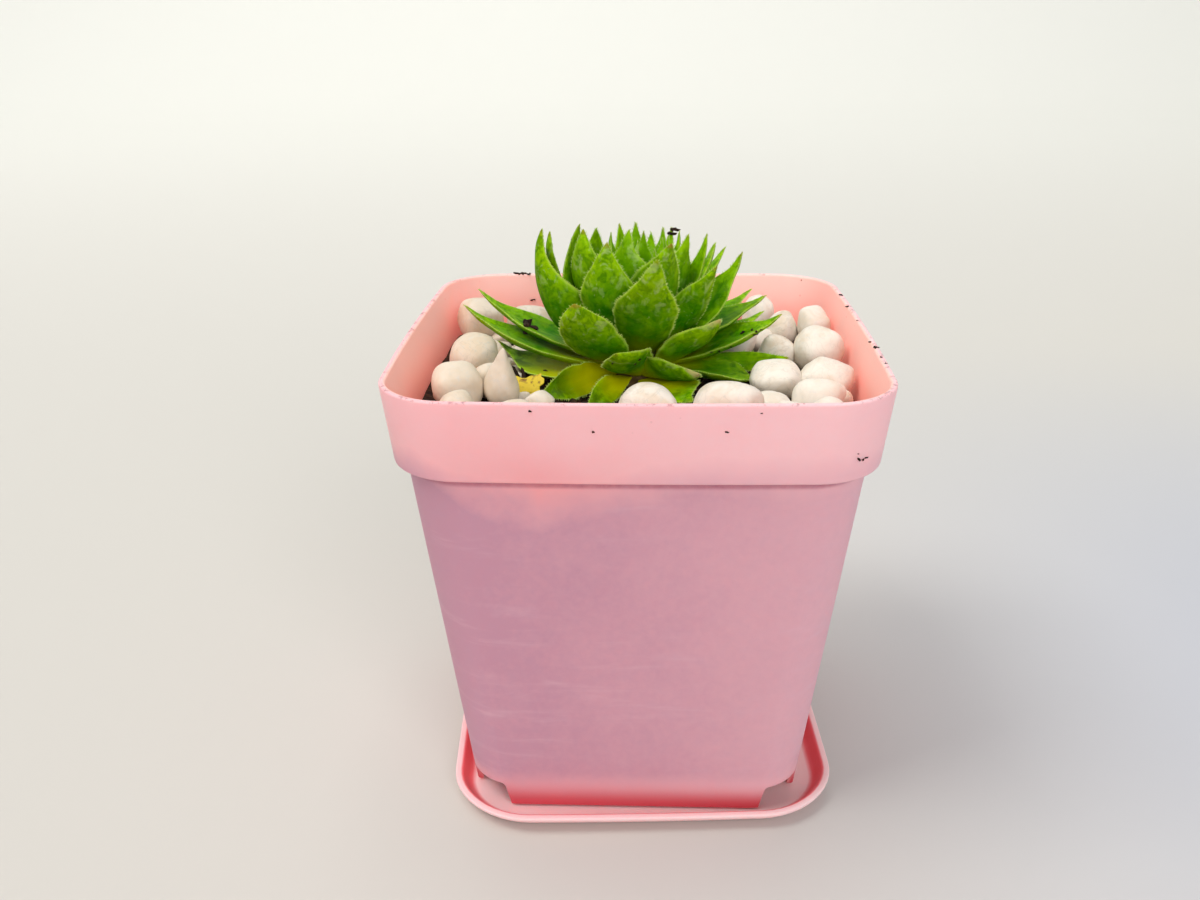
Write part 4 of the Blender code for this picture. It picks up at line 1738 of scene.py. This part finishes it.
@dataclass
class Rosette:
    """The houseleek's leaves on their stem, and the finishes that they share."""

    stem: Stem
    leaves: Sequence[Leaf]
    behind: Sequence[Leaf]
    heart: Sequence[Leaf]
    rings: int = 40
    corners: int = 28
    hair_gap: float = 0.5
    hair_length: float = 0.46
    hair_from: float = 0.16
    hair_to: float = 0.985
    skin: LeafSkin = LeafSkin("fleshy_leaf_skin")
    fringe: LeafHair = LeafHair("pale_leaf_fringe")

    def __post_init__(self) -> None:
        """Makes the finishes that all leaves share."""
        self.materials = (self.skin.material(), self.fringe.material())

    def hairs(self, leaf: Leaf, seed: int) -> bpy.types.Object:
        """The fringe of one leaf.

        Args:
            leaf: The leaf.
            seed: The seed of the hairs' small differences.

        Returns:
            The fringe, as one mesh.
        """
        draw = np.random.default_rng(Seed.HAIRS + seed)
        count = max(8, int(leaf.length / self.hair_gap))
        places = []
        for edge in (0.0, math.pi):
            share = np.linspace(self.hair_from, self.hair_to, count)
            share = share + draw.uniform(-0.3, 0.3, count) / count
            rim = leaf.surface(self.stem, share, np.array([edge]), seed)[:, 0]
            along, side, normal = leaf.heading(share)
            outward = side * math.cos(edge)
            slope = draw.uniform(0.25, 0.8, count)[:, None]
            lift = draw.uniform(-0.15, 0.4, count)[:, None]
            ahead = slope + 1.2 * ease(0.8, 1.0, share)[:, None]
            facing = outward + along * ahead + normal * lift
            taper = 0.55 + 0.45 * ease(0.15, 0.45, share)
            size = self.hair_length * draw.uniform(0.6, 1.15, count) * taper
            for spot, way, length in zip(rim, facing, size):
                turn = Vector((0, 0, 1)).rotation_difference(Vector(way)).to_matrix().to_4x4()
                places.append(Bench.stand(Vector(spot) * MM, turn, [length * MM] * 3))
        sizes = {"radius1": 0.30, "radius2": 0.0, "depth": 1.3}
        hair = Bench.add("hair", "cone", vertices=4, location=(0, 0, 0.4), **sizes)
        Bench.settle(hair)
        return Bench.scatter(f"{leaf.name}_fringe", hair, places)

    def blade(self, leaf: Leaf, blank: bpy.types.Object, order: np.ndarray, seed: int) -> bpy.types.Object:
        """Shapes a copy of the blank into one leaf, with its fringe.

        Args:
            leaf: The leaf.
            blank: The blank.
            order: The index of the blank's vertex at each ring and corner.
            seed: The seed of the leaf's small differences.

        Returns:
            The leaf.
        """
        draw = np.random.default_rng(seed)
        share = 1 - (1 - np.linspace(0, 1, self.rings)) ** 1.3
        turn = np.arange(self.corners) * 2 * math.pi / self.corners
        Bench.take(blank)
        bpy.ops.object.duplicate(linked=False)
        piece = Bench.named(f"{leaf.name}_blade")
        Bench.shape(piece, order, leaf.surface(self.stem, share, turn, seed) * MM)
        marks = {
            "along": share[:, None],
            "across": np.cos(turn)[None],
            "back": 0.5 - 0.5 * np.clip(3 * np.sin(turn), -1, 1)[None],
        }
        for name, values in marks.items():
            numbers = np.zeros(len(piece.data.vertices))
            numbers[order] = np.broadcast_to(values, order.shape)
            Bench.mark(piece, name, numbers)
        Bench.mark(piece, "age", 1.0 if leaf.age is LeafAge.OLD else leaf.rank * 0.75)
        Bench.mark(piece, "scar", leaf.scar)
        Bench.mark(piece, "tone", draw.random())
        Bench.smooth(piece, angle=60)
        Bench.dress(piece, *self.materials)
        fringe = self.hairs(leaf, seed)
        Bench.dress(fringe, self.materials[1])
        return Bench.join(f"{leaf.name}_blade", [piece, fringe])

    def build(self) -> list[bpy.types.Object]:
        """Makes every leaf, the leaves behind as one piece, and the heart as one piece.

        Returns:
            The pieces.
        """
        blank, order = Bench.prism("leaf_blank", self.corners, self.rings)
        pieces = []
        for seed, leaf in enumerate(self.leaves, 1):
            pieces.append(self.blade(leaf, blank, order, seed))
            Bench.mount(pieces[-1], leaf.age.value, leaf.name)
        groups = (
            ("leaves_behind", self.behind, Seed.LEAVES_BEHIND, LeafAge.GROWN, ()),
            ("young_heart_leaves", self.heart, Seed.HEART, LeafAge.HEART, ("heart",)),
        )
        for name, leaves, first_seed, age, nodes in groups:
            blades = [self.blade(leaf, blank, order, seed) for seed, leaf in enumerate(leaves, first_seed)]
            pieces.append(Bench.join(name, blades))
            Bench.mount(pieces[-1], age.value, *nodes)
        bpy.data.objects.remove(blank, do_unlink=True)
        return pieces


OLD, HEART = LeafAge.OLD, LeafAge.HEART
LEAVES = (
    Leaf("leaf_01", 0.98, -115, 7, -21, 19.5, 5.0, sway=5, roll=-42, cup=0.4, point=2.4, drawn=0.25, age=OLD),
    Leaf("leaf_02", 1.00, -64, 2, 3, 18.5, 11.5, sway=-2, roll=12, cup=0.1, point=1.8, drawn=0.55, age=OLD),
    Leaf("leaf_03", 0.98, -154, 4, -8, 21.0, 6.5, sway=41, roll=-69, cup=0.6, point=2.8, drawn=0.35,
         age=OLD, scar=0.5),
    Leaf("leaf_04", 0.95, -16, 9, -21, 18.5, 12.0, sway=-3, roll=-2, cup=0.3, point=2.8, drawn=0.1),
    Leaf("leaf_05", 1.00, 176, -11, 39, 27.0, 16.5, sway=-30, roll=-1, cup=0.2, point=2.0,
         drawn=0.75, age=OLD),
    Leaf("leaf_06", 0.92, -62, 14, 0, 15.0, 12.0, sway=20, roll=-30, cup=0.3, point=3.2,
         drawn=0.35, scar=0.9),
    Leaf("leaf_07", 0.98, -1, 8, -5, 25.5, 5.5, sway=6, roll=35, cup=0.15, point=2.4, drawn=0.15),
    Leaf("leaf_08", 0.90, -97, 30, 1, 15.5, 10.0, sway=-19, roll=25, cup=0.3, point=2.4, drawn=0.25),
    Leaf("leaf_09", 0.92, 171, 2, 35, 34.5, 10.0, roll=1, cup=0.3),
    Leaf("leaf_10", 0.86, 0, 14, 18, 26.0, 11.0, roll=5, cup=0.3),
    Leaf("leaf_11", 0.82, 165, 6, 32, 33.5, 9.5, cup=0.3),
    Leaf("leaf_12", 0.93, 31, 12, 8, 27.0, 9.0, sway=-2, roll=1, cup=0.25),
    Leaf("leaf_13", 0.80, -130, 24, 46, 21.5, 12.0, sway=-3, roll=25, cup=0.1, point=3.2, drawn=0.05),
    Leaf("leaf_14", 0.82, -30, 29, 21, 17.5, 14.0, sway=-2, roll=-11, cup=0.3, point=2.2,
         drawn=0.15, scar=0.6),
    Leaf("leaf_15", 0.76, 16, 24, 2, 25.0, 9.5, roll=4, cup=0.3),
    Leaf("leaf_16", 0.84, 40, 18, 5, 28.5, 8.5, sway=-2, cup=0.3),
    Leaf("leaf_17", 0.66, 16, 30, 37, 26.0, 9.0, sway=-11, roll=25, cup=0.25, point=2.4, drawn=0.6),
    Leaf("leaf_18", 0.70, -166, 11, 96, 34.0, 14.0, sway=-40, roll=38, cup=0.6, point=2.2, drawn=0.4),
    Leaf("leaf_19", 0.60, 172, 20, 75, 29.5, 8.5, sway=20, roll=14, cup=0.15, point=2.8, drawn=0.15),
    Leaf("leaf_20", 0.62, -92, 40, 30, 27.5, 12.0, sway=31, roll=-17, cup=0.1, point=3.2, drawn=0.5),
    Leaf("leaf_21", 0.70, -24, 60, -3, 22.5, 7.5, sway=-1, roll=-48, cup=0.25, point=2.4, drawn=0.4),
    Leaf("leaf_22", 0.68, 35, 46, -3, 26.0, 5.0, sway=8, roll=-8, cup=0.45, point=2.4, drawn=0.35),
    Leaf("leaf_23", 0.54, -123, 36, 66, 25.5, 12.5, roll=20, cup=0.25, point=1.6, drawn=0.2),
    Leaf("leaf_24", 0.56, 178, 30, 80, 28.0, 12.5, sway=-10, roll=-25, cup=0.2, point=2.2, drawn=0.5),
    Leaf("leaf_25", 0.56, 23, 47, 17, 23.0, 4.0, sway=5, roll=-6, cup=0.3, point=3.0, drawn=0.05),
    Leaf("leaf_26", 0.50, 2, 53, 26, 23.5, 4.5, sway=5, roll=29, cup=0.4, point=2.0, drawn=0.25),
    Leaf("leaf_27", 0.46, -149, 34, 65, 26.5, 11.5, sway=-10, roll=27, cup=0.4, point=2.0, drawn=0.2),
    Leaf("leaf_28", 0.46, -73, 67, -5, 23.5, 10.0, sway=19, roll=-9, cup=0.45, point=2.0, drawn=0.2),
    Leaf("leaf_29", 0.48, 153, 36, 68, 24.0, 7.0, sway=-24, roll=-9, cup=0.3, point=2.2, drawn=0.15),
    Leaf("leaf_30", 0.38, -16, 69, 6, 21.0, 12.5, sway=-8, roll=-28, cup=0.4, point=1.6, drawn=0.55),
    Leaf("leaf_31", 0.38, 117, 56, 21, 21.5, 8.0, roll=5),
    Leaf("leaf_32", 0.36, -126, 65, 38, 21.5, 12.5, sway=-8, roll=15, cup=0.25, point=2.2, drawn=0.6),
)
BACK_LEAVES = (
    Leaf("back_1", 0.97, 95, 3, 6, 23.0, 10.5),
    Leaf("back_2", 0.96, 128, 4, 10, 23.0, 10.0),
    Leaf("back_3", 0.95, 62, 6, 8, 20.0, 10.0),
    Leaf("back_4", 0.88, 78, 14, 12, 21.5, 10.5),
    Leaf("back_5", 0.86, 112, 15, 14, 23.5, 11.0),
    Leaf("back_6", 0.78, 60, 24, 20, 22.5, 9.5),
    Leaf("back_7", 0.76, 94, 26, 22, 23.5, 10.5),
    Leaf("back_8", 0.74, 128, 26, 24, 22.0, 10.0),
    Leaf("back_9", 0.64, 77, 36, 26, 22.5, 10.0),
    Leaf("back_10", 0.62, 110, 37, 26, 21.5, 10.0),
    Leaf("back_11", 0.50, 93, 46, 26, 21.0, 9.5),
)
HEART_LEAVES = (
    Leaf("heart_1", 0.30, 27, 64, 17, 19.0, 6.0, roll=-8, age=HEART),
    Leaf("heart_2", 0.30, 167, 66, 20, 19.0, 6.0, roll=-5, age=HEART),
    Leaf("heart_3", 0.28, 58, 54, 20, 19.5, 6.5, roll=-10, age=HEART),
    Leaf("heart_4", 0.26, 105, 64, 20, 19.5, 7.0, roll=10, age=HEART),
    Leaf("heart_5", 0.22, 51, 68, 18, 18.0, 7.0, roll=-8, age=HEART),
    Leaf("heart_6", 0.16, 79, 66, 14, 16.0, 6.5, age=HEART),
    Leaf("heart_7", 0.18, 107, 82, 20, 17.0, 5.5, roll=8, age=HEART),
    Leaf("heart_8", 0.14, 0, 68, 20, 16.0, 5.0, age=HEART),
    Leaf("heart_9", 0.10, -160, 82, 12, 14.0, 4.0, age=HEART),
    Leaf("heart_10", 0.07, 40, 72, 8, 14.0, 4.0, age=HEART),
    Leaf("heart_11", 0.03, -60, 75, 6, 12.0, 3.0, age=HEART),
)


@dataclass(frozen=True)
class Patch:
    """A patch of specks: its middle, its spread along X, Y and Z, their number and their size."""

    middle: Triple
    spread: Triple
    count: int
    size: float


@dataclass(frozen=True)
class Twig:
    """A straight twig: its two ends and its thickness."""

    start: Triple
    end: Triple
    thick: float


@dataclass(frozen=True)
class Scrap:
    """A withered scrap of leaf: its middle, its width and length, and its turn and tilt."""

    middle: Triple
    width: float
    length: float
    turn: float
    tilt: float


@dataclass
class Debris:
    """Specks of soil on the leaves, the rim and the walls, twigs, and withered scraps of leaf.

    The specks stick to the hosts. Millimetres and degrees."""

    hosts: Sequence[bpy.types.Object]
    patches: Sequence[Patch] = (
        Patch((-23, 6, 93), (1.2, 0.8, 1.0), 6, 1.5),
        Patch((7, 10.5, 112), (0.7, 0.2, 0.8), 3, 1.1),
        Patch((24, -1, 93), (3.0, 3.0, 2.0), 6, 0.6),
        Patch((17, -4, 91), (3.0, 1.0, 1.0), 3, 0.7),
        Patch((28, 1, 87), (3.0, 1.0, 1.0), 3, 0.6),
        Patch((-2, -13, 91), (3.0, 1.0, 1.0), 4, 0.7),
        Patch((-18, -5, 86), (4.0, 5.0, 1.0), 4, 0.7),
        Patch((3, -6, 107), (6.0, 4.0, 2.0), 3, 0.4),
        Patch((-28, 45, 95), (2.0, 0.1, 0.0), 6, 0.8),
        Patch((20, 45, 94.5), (2.0, 0.1, 0.4), 4, 0.6),
        Patch((-26, 44, 89), (1.0, 0.1, 1.0), 3, 0.6),
        Patch((45, 0, 95), (0.2, 26.0, 0.0), 9, 0.6),
        Patch((40, -44, 84), (1.8, 1.8, 1.6), 5, 0.5),
        Patch((0, -46, 92), (34.0, 0.0, 2.5), 4, 0.5),
    )
    twigs: Sequence[Twig] = (
        Twig((-22.9, -7.4, 83.6), (-24.0, -6.6, 87.2), 0.28),
        Twig((-22.3, -6.6, 83.5), (-22.6, -5.2, 86.4), 0.22),
        Twig((-24.6, -5.2, 83.2), (-21.0, -4.0, 84.6), 0.30),
        Twig((29.0, 34.5, 83.0), (24.5, 37.5, 83.6), 0.30),
        Twig((-12.0, 36.0, 82.9), (-7.5, 39.0, 83.4), 0.26),
    )
    scraps: Sequence[Scrap] = (
        Scrap((-22.2, -10.6, 85.2), 7.0, 5.4, 8.0, 40.0),
        Scrap((-27.0, -9.8, 84.6), 4.4, 4.6, -30.0, 36.0),
    )
    knobs: int = 12
    scrap_thickness: float = 0.28
    soil: PottingSoil = PottingSoil(
        "dark_soil_specks", brown=paint(58, 38, 26), light=paint(84, 60, 42)
    )
    withered: DeadLeaf = DeadLeaf("withered_leaf")

    def stuck(self, spot: Vector, lift: float) -> Vector:
        """Moves a spot to the nearest skin.

        Args:
            spot: The spot, in metres.
            lift: How far it stands off the skin, in metres.

        Returns:
            The new spot.
        """
        graph = bpy.context.evaluated_depsgraph_get()
        found = [host.closest_point_on_mesh(spot, depsgraph=graph) for host in self.hosts]
        met = (hit for hit in found if hit[0])
        _, near, normal, _ = min(met, key=lambda hit: (hit[1] - spot).length)
        return near + normal * lift

    @staticmethod
    def upright(way: Vector) -> Matrix:
        """The turn that points Z along a way."""
        return way.to_track_quat("Z", "Y").to_matrix().to_4x4()

    def build_specks(self) -> None:
        """Sticks the specks on and lays the twigs, as one piece."""
        draw = np.random.default_rng(Seed.SPECKS)
        places = []
        for patch in self.patches:
            for _ in range(patch.count):
                size = patch.size * draw.uniform(0.6, 1.2)
                near = Vector(np.array(patch.middle) + draw.uniform(-1, 1, 3) * patch.spread)
                spot = self.stuck(near * MM, 0.12 * size * MM)
                turn = self.upright(Vector(draw.normal(size=3)).normalized())
                shape = np.array([1.0, draw.uniform(0.5, 0.9), draw.uniform(0.45, 0.7)])
                places.append(Bench.stand(spot, turn, shape * size / 2.4 * MM))
        for twig in self.twigs:
            low, high = Vector(twig.start), Vector(twig.end)
            shape = Vector((twig.thick, twig.thick, (high - low).length / 2)) * MM
            places.append(Bench.stand((low + high) / 2 * MM, self.upright(high - low), shape))
        speck = Bench.add("speck", "ico_sphere", subdivisions=2, radius=1.0)
        points = Bench.points(speck)
        for _ in range(self.knobs):
            knob = draw.normal(size=3)
            near = points @ (knob / np.linalg.norm(knob))
            points = points * (1 + draw.uniform(-0.35, 0.6) * ease(0.7, 1.0, near)[:, None])
        Bench.move(speck, points)
        specks = Bench.scatter("soil_specks_and_twigs", speck, places)
        Bench.smooth(specks, angle=35)
        Bench.mount(specks, "soil_dark", look=self.soil.material())

    def build_scraps(self) -> None:
        """Lays the withered scraps of leaf by the rosette."""
        made = []
        for number, scrap in enumerate(self.scraps):
            draw = np.random.default_rng(Seed.SCRAPS + number)
            name = f"leaf_scrap_{number}"
            piece = Bench.add(name, "grid", x_subdivisions=18, y_subdivisions=14, size=1.0)
            points = Bench.points(piece)
            x, y = points[:, 0], points[:, 1]
            angle = np.arctan2(y, x)
            ragged = 1 + 0.12 * np.sin(3 * angle + number) + 0.09 * np.sin(7 * angle)
            ragged = ragged + 0.05 * np.sin(17 * angle)
            flat = points[:, :2] * ragged[:, None] * np.array([scrap.width, scrap.length])
            bow = 0.9 * x**2 * scrap.width - 0.7 * y**2 * scrap.length
            crease = 0.22 * np.sin(9 * x + 4 * y) + draw.uniform(-0.05, 0.05, len(points))
            Bench.move(piece, np.column_stack([flat, bow * 0.5 + crease]) * MM)
            piece.location = Vector(scrap.middle) * MM
            piece.rotation_euler = (math.radians(scrap.tilt), 0, math.radians(scrap.turn))
            Bench.settle(piece)
            Bench.modify(piece, "SOLIDIFY", thickness=self.scrap_thickness * MM, offset=0.0)
            Bench.modify(piece, "SUBSURF", levels=1, render_levels=1)
            Bench.smooth(piece, angle=60)
            made.append(piece)
        scraps = Bench.join("withered_leaf_scraps", made)
        Bench.mount(scraps, "old_leaf_green", look=self.withered.material())

    def build(self) -> None:
        """Makes the specks, the twigs and the scraps."""
        self.build_specks()
        self.build_scraps()


# ---------------------------------------------------------------- studio


@dataclass(frozen=True)
class Lamp:
    """A square soft light: its name, place, side, power in watts, tint, and what it faces."""

    name: str
    at: Triple
    size: float
    power: float
    tint: Colour
    aim: Triple = (0.0, 0.0, 0.06)

    def hang(self) -> None:
        """Hangs the light."""
        Bench.clear()
        bpy.ops.object.light_add(type="AREA", location=self.at)
        light = bpy.context.active_object
        light.name = self.name
        light.data.shape = "SQUARE"
        light.data.size = self.size
        light.data.energy = self.power
        light.data.color = self.tint
        way = Vector(self.aim) - Vector(self.at)
        light.rotation_euler = way.to_track_quat("-Z", "Y").to_euler()


@dataclass
class Studio:
    """The pale floor and backdrop, the soft lights and the camera. Metres and degrees, and the
    lens in millimetres."""

    camera_at: Vector = field(default_factory=lambda: Vector((0.001066, -0.218179, 0.157887)))
    looks: Vector = field(default_factory=lambda: Vector((-0.03739647, 0.9230555, -0.38284467)))
    roll: float = 0.55
    lens: float = 33.375
    side: float = 4.0
    back: float = 0.2
    wall: float = 2.5
    bend: float = 0.9
    sky: Colour = (0.93, 0.96, 1.0)
    sky_strength: float = 0.42
    lamps: Sequence[Lamp] = (
        Lamp("window", (-1.3, -0.5, 2.3), 1.2, 33.5, (1.0, 0.985, 0.94)),
        Lamp("room", (0.8, -2.2, 1.3), 1.4, 30.0, (1.0, 0.99, 0.98)),
        Lamp("backdrop", (-0.3, 0.7, 2.6), 1.6, 22.0, (1.0, 1.0, 0.98), (0.0, 2.0, 0.7)),
    )
    paper: StudioPaper = StudioPaper("pale_studio_paper")

    def build_floor(self) -> None:
        """Lays a sheet of paper that curves up behind the object."""
        floor = Bench.add("paper_floor", "plane", size=self.side, location=(0, self.back, 0))
        bpy.ops.object.mode_set(mode="EDIT")
        bpy.ops.mesh.select_mode(type="EDGE")
        bpy.ops.mesh.select_all(action="DESELECT")
        bpy.ops.object.mode_set(mode="OBJECT")
        for edge in floor.data.edges:
            ends = [floor.data.vertices[index].co.y for index in edge.vertices]
            edge.select = min(ends) > self.side / 2 - 0.1
        bpy.ops.object.mode_set(mode="EDIT")
        bpy.ops.mesh.extrude_region_move(TRANSFORM_OT_translate={"value": (0, 0, self.wall)})
        bpy.ops.object.mode_set(mode="OBJECT")
        Bench.settle(floor)
        Bench.modify(floor, "BEVEL", width=self.bend, segments=24, limit_method="ANGLE")
        Bench.smooth(floor, angle=60)
        Bench.dress(floor, self.paper.material())

    def light(self) -> None:
        """Sets the lights and the even light from all round."""
        world = bpy.data.worlds.new("soft_room")
        bpy.context.scene.world = world
        world.use_nodes = True
        background = world.node_tree.nodes["Background"]
        background.inputs["Color"].default_value = (*self.sky, 1.0)
        background.inputs["Strength"].default_value = self.sky_strength
        for lamp in self.lamps:
            lamp.hang()
        bpy.context.scene.view_settings.view_transform = "Standard"

    def place_camera(self) -> None:
        """Stands the camera in front of the pot, a little above it."""
        forward = self.looks.normalized()
        right = forward.cross(Vector((0, 0, 1))).normalized()
        up = right.cross(forward)
        turn = math.radians(self.roll)
        x_axis = right * math.cos(turn) - up * math.sin(turn)
        y_axis = right * math.sin(turn) + up * math.cos(turn)
        stand = Matrix((x_axis, y_axis, -forward)).transposed().to_4x4()
        data = bpy.data.cameras.new("camera")
        data.lens = self.lens
        data.sensor_width = 36.0
        data.clip_start = 0.01
        camera = bpy.data.objects.new("camera", data)
        bpy.context.scene.collection.objects.link(camera)
        camera.matrix_world = Matrix.Translation(self.camera_at) @ stand
        bpy.context.scene.camera = camera

    def build(self) -> None:
        """Sets up the whole studio."""
        self.build_floor()
        self.light()
        self.place_camera()


def main() -> None:
    """Builds every piece in order."""
    logging.basicConfig(level=logging.INFO, format="%(name)s %(message)s")
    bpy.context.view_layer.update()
    Studio().build()
    pot, stem = Pot(), Stem()
    soil = SoilBed(pot)
    pebbles = sorted(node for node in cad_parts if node.startswith("pebble_"))
    pieces = [pot.build(), Saucer().build(), soil.build_bed(), soil.build_crumbs(), stem.build()]
    pieces += Gravel(pebbles).build()
    pieces += Rosette(stem, LEAVES, BACK_LEAVES, HEART_LEAVES).build()
    Debris(pieces).build()


if __name__ == "__main__":
    main()
